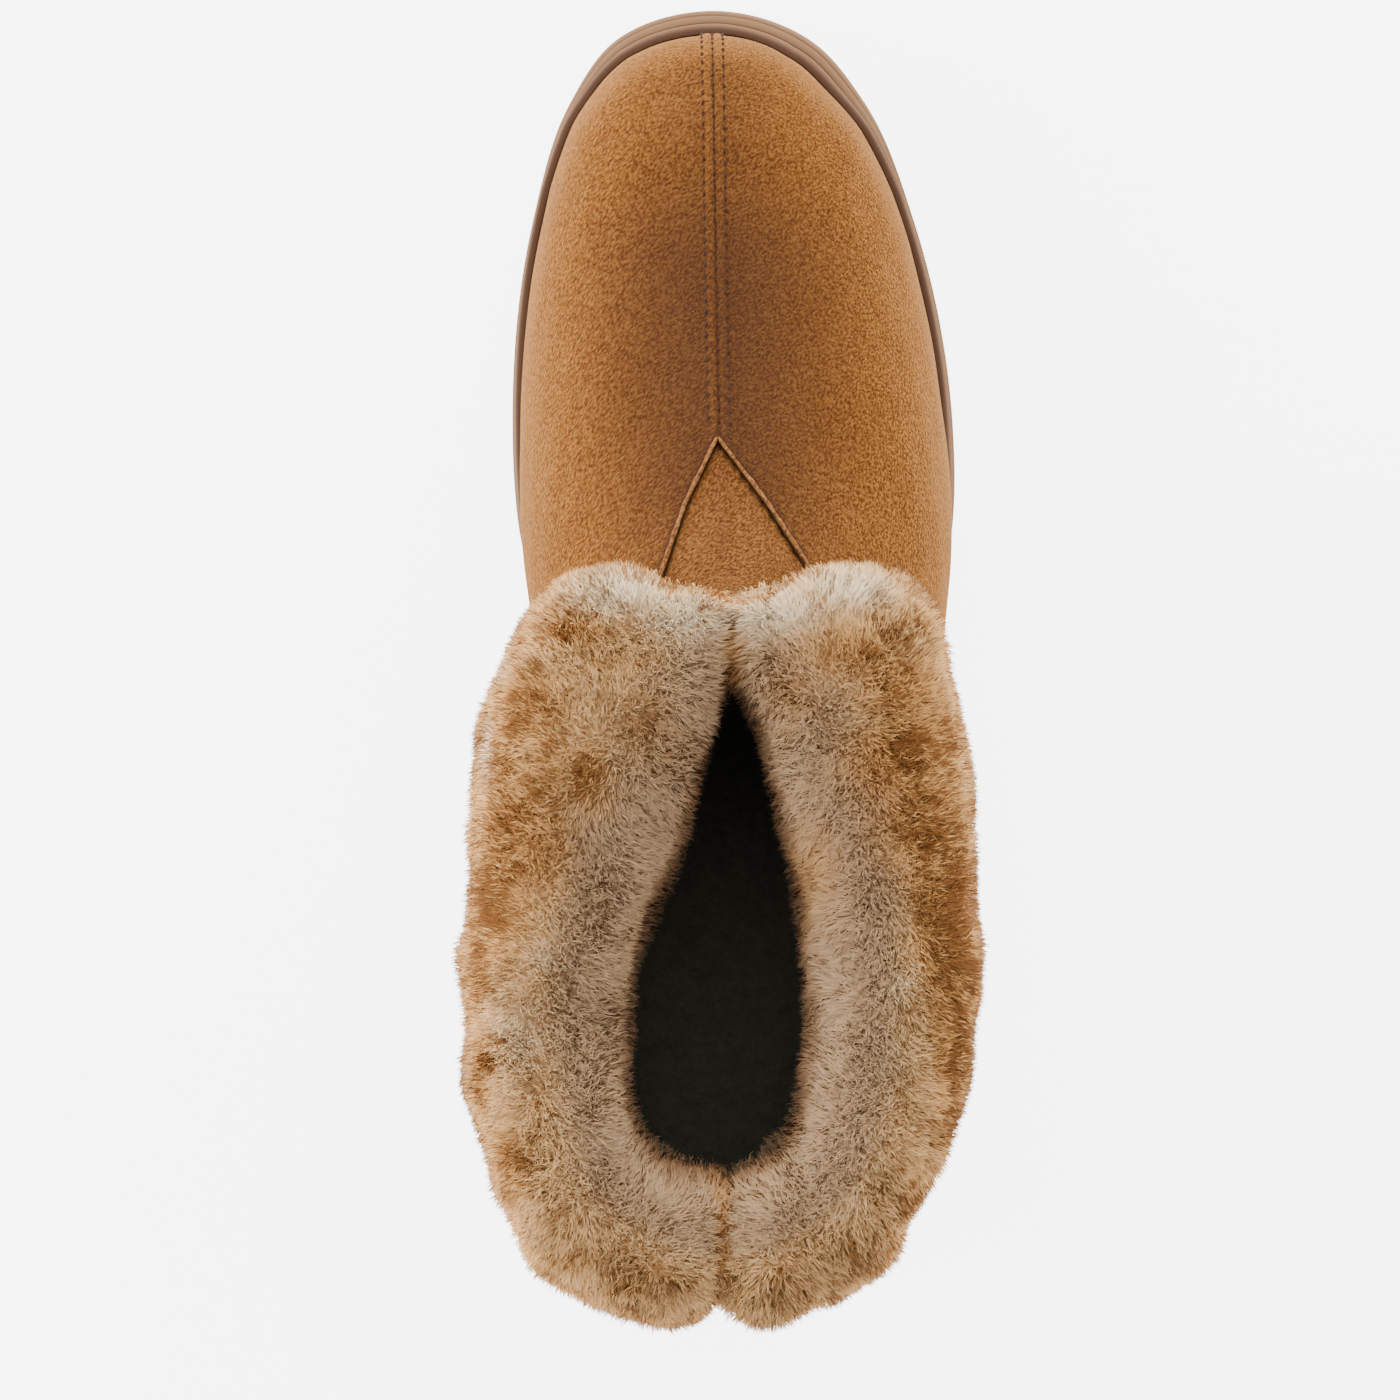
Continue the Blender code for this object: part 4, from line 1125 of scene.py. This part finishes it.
def sole_side():
    """Loops up the sole's banded side, over its rim and down inside it, and each loop's painted shade."""
    loop = sole_loop()
    normal, y = outward(loop), loop[:, 1]
    flare_zone = margin(loop) - RIM_GAP - RIM_THICKNESS
    low, high = tread_height(y), seat_height(y) + RIM_RISE
    steps = np.array(SIDE_STEPS)
    loops, shades = [], []
    fine = smooth(np.arange(len(steps)), steps, np.linspace(0, len(steps) - 1, SOLE_ROWS))
    for height, flare, relief in fine:
        inset = (1 - flare) * flare_zone + relief * SIDE_GROOVE_DEPTH
        level = np.column_stack([loop - normal * inset[:, None], low + height * (high - low)])
        loops.append(in_columns(level, SOLE_MIDDLE))
        # Painted shade: darker in the side's grooves, up the rim towards the upper, and along the bottom edge
        groove = smoothstep((relief - 0.35) / 0.6) * (0.5 < height < 0.9)
        shades.append(max(0.70 * groove, 0.92 * smoothstep((height - 0.60) / 0.34), 0.35 * (height < 0.05)))
    # The rim's inside wall, down to the seat, is painted dark as shade
    return loops + rim_inside_loops(), shades + [0.8, 0.9]


def underside(edge):
    """Rungs of points from the medial to the lateral edge, along the tread's wave, and its grooves."""
    half = len(edge) // 2
    share = np.linspace(0, 1, SOLE_ACROSS + 1)[1:-1]
    left, right = edge[1:half], edge[:half:-1]
    points = (left[:, None] + (right - left)[:, None] * share[:, None]).reshape(-1, 3)
    to_side = (np.minimum(share, 1 - share) * np.linalg.norm(right - left, axis=1)[:, None]).ravel()
    to_ends = np.minimum(points[:, 1] - edge[:, 1].min(), edge[:, 1].max() - points[:, 1])
    to_edge = np.minimum(to_side, to_ends)
    points[:, 1] += tread_wave(points[:, 0]) * smoothstep(to_edge / TREAD_BORDER)
    depth, groove = tread_depth(points, to_edge)
    points[:, 2] = tread_height(points[:, 1]) + depth
    return points, groove


def make_sole():
    """The moulded sole: its banded side, its rim, its seat and its grooved tread as one closed mesh."""
    loops, shades = sole_side()
    under, groove = underside(loops[0])
    columns = len(loops[0])
    half, top, first = columns // 2, (len(loops) - 1) * columns, len(loops) * columns
    rungs = np.arange(1, half)
    near, far = rungs[:-1], columns - rungs[:-1]
    seat = top + np.stack([near, near + 1, far - 1, far], axis=1)
    seat_ends = top + np.array([(columns - 1, 0, 1), (half + 1, half, half - 1)])
    table = np.column_stack([rungs, first + np.arange(len(under)).reshape(half - 1, -1), columns - rungs])
    tread = np.stack([table[:-1, 1:], table[1:, 1:], table[1:, :-1], table[:-1, :-1]], axis=-1).reshape(-1, 4)
    heel_end = np.concatenate([[0], table[0]])[None]
    toe_end = np.concatenate([[half], table[-1][::-1]])[None]
    faces = [grid_faces(len(loops), columns, True), seat, seat_ends, tread, heel_end, toe_end]
    # Painted shade: the side's loops as shaded, and the tread's grooves darker
    tint = tint_of(np.concatenate([np.repeat(shades, columns), 0.5 * groove]))
    made = mesh_object("sole_rubber", to_row(np.concatenate(loops + [under])), faces, RUBBER, tint=tint)
    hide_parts("sole")
    rides(made)


make_sole()


# The cuff


def at_angle(loop, axis, angle):
    """Where a closed loop's chords cross the half plane at an angle from the front, medial side positive."""
    side = (loop[:, 0] - axis[0]) * math.cos(angle) + (loop[:, 1] - axis[1]) * math.sin(angle)
    ahead = (loop[:, 1] - axis[1]) * math.cos(angle) - (loop[:, 0] - axis[0]) * math.sin(angle)
    next_side, next_ahead = np.roll(side, -1), np.roll(ahead, -1)
    first = np.flatnonzero((side * next_side <= 0) & (side != next_side) & (ahead + next_ahead > 0))[0]
    share = side[first] / (side[first] - next_side[first])
    radius = ahead[first] + share * (next_ahead[first] - ahead[first])
    if loop.shape[1] < 3:
        return radius
    low, high = loop[first, 2], loop[(first + 1) % len(loop), 2]
    return radius, low + share * (high - low)


def place_at_height(profile, height):
    return float(np.interp(-height, -profile[:, 1], np.arange(len(profile))))


def place_at_radius(profile, radius):
    reached = np.flatnonzero(profile[:, 0] > radius)
    if len(reached) == 0 or reached[0] == 0:
        return float(len(profile) - 1 if len(reached) == 0 else 0)
    last = reached[0] - 1
    inner, outer = profile[last, 0], profile[last + 1, 0]
    return float(last + (radius - inner) / (outer - inner))


def cuff_plans():
    rear, front, medial, lateral = COLLAR
    length = BACK_PILE + front - rear + FRONT_PILE
    width = medial + lateral + 2 * SIDE_PILE
    outline = outline_loop(CUFF_OUTLINE, length, width, width) + (0.0, rear - BACK_PILE)
    width = medial + lateral
    hole = outline_loop(HOLE_OUTLINE, front - rear, width, width) + (0.0, rear)
    return outline, hole


AXIS = np.array([COLLAR_SHIFT, (COLLAR[0] + COLLAR[1]) / 2])
ACROSS = 70


def wool_line(angle, grids, loops):
    """The wool's face in one upright section: (radius, height), from the hem over the crown to the inside."""
    outer_face, inner_face, gusset_face = grids
    spec = np.array(CUFF_ROUND)
    hem, inside, crease = smooth(spec[:, 0], spec[:, 1:], [abs(math.degrees(angle))])[0]
    clear = np.array([at_angle(ring, AXIS, angle) for ring in outer_face[::-1]])
    edge = clear[0, 1]
    out_radius, hole_radius = at_angle(loops[0], AXIS, angle), at_angle(loops[1], AXIS, angle)
    rest = clear[0, 0] + HEM_REST * (out_radius - clear[0, 0])
    lowest = min(place_at_height(clear, edge - hem * CUFF_DEPTH), place_at_radius(clear, rest))
    count = np.arange(len(clear))
    foot_r, foot_z = (np.interp(lowest, count, clear[:, k]) for k in range(2))
    gusset_back = outer_face[-1, :, 1].max() - THROAT_OVERRUN - 2 * GUSSET_LAP
    within_grid = gusset_face if AXIS[1] + foot_r * math.cos(angle) > gusset_back else inner_face
    within = np.array([at_angle(ring, AXIS, angle) for ring in within_grid[::-1]])
    inner_z = max(edge - inside * WOOL_DEPTH_INSIDE, within[-1, 1])
    crown = edge + CROWN_RISE - CREASE_DEPTH * crease
    reach, height = np.array(CUFF_FORM).T
    radius = np.where(
        reach > 0,
        clear[0, 0] + reach * (out_radius - clear[0, 0]),
        clear[0, 0] - reach * (hole_radius - clear[0, 0]),
    )
    radius[0] = max(radius[0], foot_r + HEM_THICKNESS)
    foot = np.where(reach > 0, foot_z, inner_z)
    form = np.column_stack([radius, foot + height * (crown - foot)])
    knots = lengths_along(form)
    marks = np.linspace(0.0, knots[-1], ACROSS)
    reach_at = np.interp(marks, knots, reach)
    return smooth(knots, form, marks), reach_at, clear[0]


def wool_grid():
    """The wool's face as a grid round the collar, with its reach shares and its normals."""
    surface = upper_surface(24)[:, ::4]
    normal = face_normals(surface)
    sunk = UPPER_WALL + FIT_GAP + GUSSET_WALL + WOOL_GAP
    grids = (
        surface + normal * (WOOL_GAP + SEAM_RAISE),
        surface - normal * (UPPER_WALL + WOOL_GAP),
        surface - normal * sunk,
    )
    loops = cuff_plans()
    slit = CREASE_GAP / 2 / at_angle(loops[0], AXIS, 0.0)
    angles = np.linspace(slit, 2 * math.pi - slit, 4 * DENSE)
    radii = np.array([at_angle(loops[0], AXIS, angle) for angle in angles])
    lengths = lengths_along(np.column_stack([radii * np.sin(angles), radii * np.cos(angles)]))
    around = 250
    grid, reaches, edges = [], [], []
    for place in np.linspace(0.0, lengths[-1], around):
        angle = float(np.interp(place, lengths, angles))
        signed = angle if angle <= math.pi else angle - 2 * math.pi
        line, reach, edge = wool_line(signed, grids, loops)
        at = (-math.sin(signed), math.cos(signed))
        grid.append([(AXIS[0] + r * at[0], AXIS[1] + r * at[1], z) for r, z in line])
        edges.append((AXIS[0] + edge[0] * at[0], AXIS[1] + edge[0] * at[1], edge[1] - 0.004))
        reaches.append(reach)
    grid = to_row(np.array(grid))
    ahead = np.gradient(grid, axis=1)
    round_it = np.gradient(grid, axis=0)
    normal = unit(np.cross(round_it, ahead))
    return grid, np.array(reaches), normal, to_row(np.array(edges))


def blended(grid, cell_u, cell_v, share_u, share_v):
    """Values of a grid at fractional places inside its cells."""
    a = grid[cell_u, cell_v] * ((1 - share_u) * (1 - share_v))[:, None]
    b = grid[cell_u + 1, cell_v] * (share_u * (1 - share_v))[:, None]
    c = grid[cell_u, cell_v + 1] * ((1 - share_u) * share_v)[:, None]
    d = grid[cell_u + 1, cell_v + 1] * (share_u * share_v)[:, None]
    return a + b + c + d


def patch_shares(x, y):
    """How brown, golden and light the wool's patches make places seen from above."""
    brown, golden, light = np.zeros((3, len(x)))
    for px, py, wide, long, how_brown, how_light in WOOL_PATCHES:
        away = ((x - px) / wide) ** 2 + ((y - py) / long) ** 2
        brown = np.maximum(brown, how_brown * np.exp(-0.7 * away))
        golden = np.maximum(golden, how_brown * np.exp(-0.4 * away))
        light = np.maximum(light, how_light * np.exp(-away))
    return brown, golden, light


def wool_colours(points, normals, reach, lock_random, hair_random):
    """Root, middle and tip colours of hairs at places of the wool's face, one lock's hairs much alike, with
    painted shade at the roots and down into the opening.
    """
    brown, golden, light = patch_shares(points[:, 0], points[:, 1])
    upright = np.clip(normals[:, 2], 0, 1)
    brown, light = brown * smoothstep(upright * 2.5 + 0.6), light * smoothstep(upright * 3 + 0.3)
    speckle = 0.5 * value_noise(points, 0.0022, 41) + 0.5 * value_noise(points, 0.0048, 42)
    patch = value_noise(points, 0.019, 43)
    side = smoothstep((reach - 0.90) / 0.10) * (1 - upright)
    outer = smoothstep((reach + 0.3) / 0.8)
    brown = np.maximum(brown, 0.16 + 0.28 * outer)
    golden = np.maximum(golden, 0.36 * outer + 0.24 * smoothstep((reach - 0.70) / 0.25))
    random = 0.75 * lock_random + 0.30 * hair_random
    fleck = smoothstep((brown * (0.92 + 0.95 * random + 0.90 * speckle + 0.2 * patch) - 0.34) / 0.42)
    mottle = smoothstep((0.55 * patch + 0.55 * speckle + 0.30 + 0.14 * random) / 0.5)
    fleck = np.maximum(fleck, side * mottle * 0.95)
    # Painted shade: where the wool turns down into the opening its tips go brown and dark
    rim = smoothstep((-reach - 0.80) / 0.20)
    fleck = np.maximum(fleck, 0.75 * rim)
    base = BEIGE + (CREAM - BEIGE) * smoothstep(1.25 * outer + 0.30 * patch)[:, None]
    base = base + (HONEY - base) * (0.82 * smoothstep(1.3 * golden))[:, None]
    base = base + (WHITE_WOOL - base) * smoothstep(light)[:, None]
    base = base * (1 + 0.05 * random[:, None])
    tip = base + (TIP_BROWN - base) * fleck[:, None]
    middle = base + (TIP_BROWN - base) * (0.85 * fleck)[:, None]
    tip = tip + (RIM_SHADE_BROWN - tip) * (0.55 * rim)[:, None]
    # Painted shade: the roots, and so the fleece under the hairs, a little darker as among the hairs
    root = base * 0.95
    # Painted shade: deep inside the opening the hairs fade to the inside's dark
    inside = smoothstep((-reach - 0.93) / 0.06) * smoothstep((0.106 - points[:, 2]) / 0.012)
    return [colour + (INSIDE_SHADE - colour) * inside[:, None] for colour in (root, middle, tip)]


WOOL_LUMPS = (
    # height, width, seed
    (0.0020, 0.014, 51),
    (0.0009, 0.0065, 52),
)

# What turns a hair: the wool's face, its fall towards the hem, swirls over the cuff and chance
HAIR_UPRIGHT = 0.85
HAIR_FALL = 0.50
HAIR_SWIRL = 0.55
HAIR_CHANCE = 0.36


def wool_lumps(points):
    """Heights of the wool's lumps, less its crease at the back and the steps of its front edge."""
    x, y, _ = points.T
    lumps = sum(height * value_noise(points, width, seed) for height, width, seed in WOOL_LUMPS)
    from_crease = x - BACK_CREASE_X - BACK_CREASE_SLANT * (y + 0.03)
    lumps = lumps - BACK_CREASE_DEPTH * bell(from_crease, BACK_CREASE_WIDTH) * (y < -0.010)
    beside = np.abs(x - SLIT_X)
    step = 0.0016 * bell(beside - 0.0095, 0.0055) - 0.0008 * bell(beside - 0.021, 0.004)
    step = step + 0.0019 * bell(x + 0.0300, 0.0085)
    return lumps - step * smoothstep((y - 0.092) / 0.008)


def make_fleece(core, normal, reaches):
    """The closed body of wool under the hairs, in the colours of their roots, with the roots' painted shade.
    """
    around, across = core.shape[:2]
    flat = core.reshape(-1, 3)
    normal = np.concatenate([normal, normal[:, -1:]], axis=1).reshape(-1, 3)
    reach = np.column_stack([reaches, reaches[:, -1:]]).ravel()
    even = np.zeros(len(flat))
    colour, _, _ = wool_colours(flat, normal, reach, even, even)
    ends = [np.arange(across)[None, ::-1], np.arange(len(flat) - across, len(flat))[None]]
    made = mesh_object("cuff_fleece", flat, [grid_faces(around, across, True), *ends], WOOL, tint=colour)
    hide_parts("cuff")
    rides(made)


def hair_cells(rng, grid, normal, reaches):
    """Cells of the wool's face that the hairs grow in, fewest deep inside, and the face's weighted area."""
    side_u = np.linalg.norm(grid[1:, :-1] - grid[:-1, :-1], axis=2)
    side_v = np.linalg.norm(grid[:-1, 1:] - grid[:-1, :-1], axis=2)
    weight = side_u * side_v * np.where(normal[:-1, :-1, 2] > 0.25, TOP_DENSITY, SIDE_DENSITY)
    deep = (reaches[:-1, :-1] < -0.9) & (grid[:-1, :-1, 2] < 0.10)
    weight = weight * np.where(deep, DEEP_DENSITY, 1.0)
    cells = rng.choice(weight.size, HAIRS, p=(weight / weight.sum()).ravel())
    return *np.divmod(cells, weight.shape[1]), weight.sum()


def drawn_to_locks(rng, root, ahead, length, area):
    """Tips of the hairs, each drawn to the tip of its lock, and a random value that a lock's hairs share."""
    lock_count = min(int(area / LOCK_SPACING ** 2), HAIRS // 6)
    locks = rng.choice(HAIRS, lock_count, replace=False)
    tree = KDTree(lock_count)
    for number, hair in enumerate(locks):
        tree.insert(root[hair], number)
    tree.balance()
    mine = np.array([tree.find(point)[1] for point in root])
    lock_random = rng.uniform(-1, 1, lock_count)[mine]
    hair = locks[mine]
    lock_length = (1 + 0.16 * lock_random) * length[hair]
    lock_tip = root[hair] + ahead[hair] * lock_length[:, None]
    tip = root + ahead * length[:, None]
    return tip + (lock_tip - tip) * rng.uniform(*LOCK_PULL, HAIRS)[:, None], lock_random


def hair_blades(rng, root, bend, tip, up, ahead):
    """Five corners of each blade, wide at its bend, pointed and facing outwards, and their normals."""
    along = unit(tip - root)
    wide = unit(np.cross(along, unit(rng.normal(size=(HAIRS, 3)))))
    inwards = (np.cross(wide, along) * up).sum(axis=1) < 0
    wide = np.where(inwards[:, None], -wide, wide)
    face = np.cross(wide, along)
    half = (HAIR_WIDTH / 2 * rng.uniform(*WIDTH_SPREAD, HAIRS) * 1.0)[:, None]
    at_root, at_bend = wide * half * 0.9, wide * half
    corners = np.stack([root - at_root, root + at_root, bend + at_bend, bend - at_bend, tip], axis=1)
    normals = unit(up + 0.18 * face + 0.22 * ahead)
    return corners, np.repeat(normals[:, None], 5, axis=1)


def make_fur():
    """The cuff's fleece, and the hairs that grow on it in locks."""
    grid, reaches, normal, edges = wool_grid()
    around, across = grid.shape[:2]
    ends = np.sin(math.pi * np.linspace(0, 1, across)) ** 0.35
    lumps = wool_lumps(grid.reshape(-1, 3)).reshape(around, across) * ends
    base = grid + normal * (lumps - PILE * (0.30 + 0.70 * ends))[:, :, None]
    make_fleece(np.concatenate([base, edges[:, None]], axis=1), normal, reaches)

    rng = np.random.default_rng(7)
    u, v, area = hair_cells(rng, grid, normal, reaches)
    su, sv = rng.random(HAIRS), rng.random(HAIRS)

    def at_hairs(values):
        return blended(values, u, v, su, sv)

    root = at_hairs(base)
    up = unit(at_hairs(normal))
    reach = at_hairs(reaches[:, :, None])[:, 0]
    end = at_hairs(np.broadcast_to(ends[None, :, None], (around, across, 1)))[:, 0]
    flow = at_hairs(unit(-np.gradient(grid, axis=1)))
    swirl = np.stack([value_noise(root, 0.009, 60 + k) for k in range(3)], axis=1)
    jitter = rng.normal(size=(HAIRS, 3))

    # Beside the slit the hairs lean over it, so that the two lobes meet
    place = lengths_along(grid[:, across // 2])
    along = place[u] + su * (place[u + 1] - place[u])
    to_slit = np.minimum(along, place[-1] - along)
    over = at_hairs(unit(np.gradient(grid, axis=0))) * np.where(along < place[-1] / 2, -1.0, 1.0)[:, None]
    closing = 1.3 * bell(to_slit, SLIT_REACH)

    # At the front's middle the wool is short and upright, so that the V panel's edge shows
    front = smoothstep((0.0155 - np.abs(root[:, 0])) / 0.004) * smoothstep((root[:, 1] - 0.096) / 0.006)
    lean = np.clip(reach + 0.12, -1, 1) * (1 - 0.8 * front)
    ahead = HAIR_UPRIGHT * up + flow * (HAIR_FALL * lean)[:, None] + HAIR_SWIRL * swirl + HAIR_CHANCE * jitter
    ahead = unit(ahead + over * closing[:, None])
    length = HAIR_LENGTH * (0.55 + 0.45 * end) * rng.uniform(*LENGTH_SPREAD, HAIRS) * (1 - 0.40 * front)

    tip, lock_random = drawn_to_locks(rng, root, ahead, length, area)
    bend = root + (tip - root) * 0.55 + up * (0.10 * length)[:, None] + 0.0003 * jitter[:, [1, 2, 0]]
    corners, normals = hair_blades(rng, root, bend, tip, up, ahead)
    shade_place = (grid[u, v] + root) / 2
    low, middle, high = wool_colours(shade_place, up, reach, lock_random, rng.uniform(-1, 1, HAIRS))
    tint = np.stack([low, low, middle, middle, high], axis=1)
    for number in range(FUR_PIECES):
        share = slice(number * HAIRS // FUR_PIECES, (number + 1) * HAIRS // FUR_PIECES)
        points, tints, bends = (values[share].reshape(-1, 3) for values in (corners, tint, normals))
        start = np.arange(0, len(points), 5)[:, None]
        faces = [start + [0, 1, 2, 3], start + [3, 2, 4]]
        rides(mesh_object(f"wool_pile_{number + 1}", points, faces, WOOL, tint=tints, normals=bends))


make_fur()


# Floor, light and camera


WORLD_STRENGTH = 0.67
FLOOR_GLOW = 5.2
WHITE_LIGHT = (1.0, 1.0, 1.0)
WARM_LIGHT = (1.0, 0.94, 0.85)
SOFTBOXES = (
    # name, place, target, width, height, watts, colour
    ("left_softbox", (-0.95, 0.10, 0.30), (-0.02, 0.08, 0.05), 0.5, 1.3, 19.0, WHITE_LIGHT),
    ("right_softbox", (0.95, 0.10, 0.30), (0.02, 0.08, 0.05), 0.5, 1.3, 7.6, WHITE_LIGHT),
    ("top_softbox", (0.0, 0.55, 1.45), (0.0, 0.10, 0.05), 1.0, 0.7, 8.4, WHITE_LIGHT),
    ("front_softbox", (0.0, 0.95, 0.55), (0.0, 0.11, 0.08), 1.0, 0.5, 11.5, WARM_LIGHT),
)
SENSOR_WIDTH = 36.0
LENS = 105.6
CAMERA_PLACE = (-0.0039, 0.0850, 1.0)


def make_stage():
    bpy.ops.mesh.primitive_plane_add(size=6.0, location=(0.0, 0.1, -0.0002))
    floor = bpy.context.object
    floor.name = "floor"
    made, tree, shader = new_material("pale_floor", 0.9)
    shade = ramp(tree, noise(tree, 0.4), (0.3, (0.90, 0.90, 0.90)), (0.7, (0.92, 0.92, 0.92)))
    link(tree, shade, shader.inputs["Base Color"])
    shader.inputs["Emission Color"].default_value = (1.0, 1.0, 1.0, 1.0)
    shader.inputs["Emission Strength"].default_value = FLOOR_GLOW
    floor.data.materials.append(made)


def area_light(name, place, target, width, height, power, colour):
    data = bpy.data.lights.new(name, "AREA")
    data.shape = "RECTANGLE"
    data.size, data.size_y, data.energy, data.color = width, height, power, colour
    light = bpy.data.objects.new(name, data)
    light.location = place
    light.rotation_euler = (Vector(target) - Vector(place)).to_track_quat("-Z", "Y").to_euler()
    bpy.context.scene.collection.objects.link(light)


def make_lights():
    world = bpy.data.worlds.new("studio")
    bpy.context.scene.world = world
    world.use_nodes = True
    background = world.node_tree.nodes["Background"]
    background.inputs["Color"].default_value = (1.0, 1.0, 1.0, 1.0)
    background.inputs["Strength"].default_value = WORLD_STRENGTH
    for softbox in SOFTBOXES:
        area_light(*softbox)


def make_camera():
    data = bpy.data.cameras.new("camera")
    data.sensor_width = SENSOR_WIDTH
    data.lens = LENS
    camera = bpy.data.objects.new("camera", data)
    camera.location = CAMERA_PLACE
    camera.rotation_euler = (0.0, 0.0, 0.0)
    bpy.context.scene.collection.objects.link(camera)
    bpy.context.scene.camera = camera


make_stage()
make_lights()
make_camera()
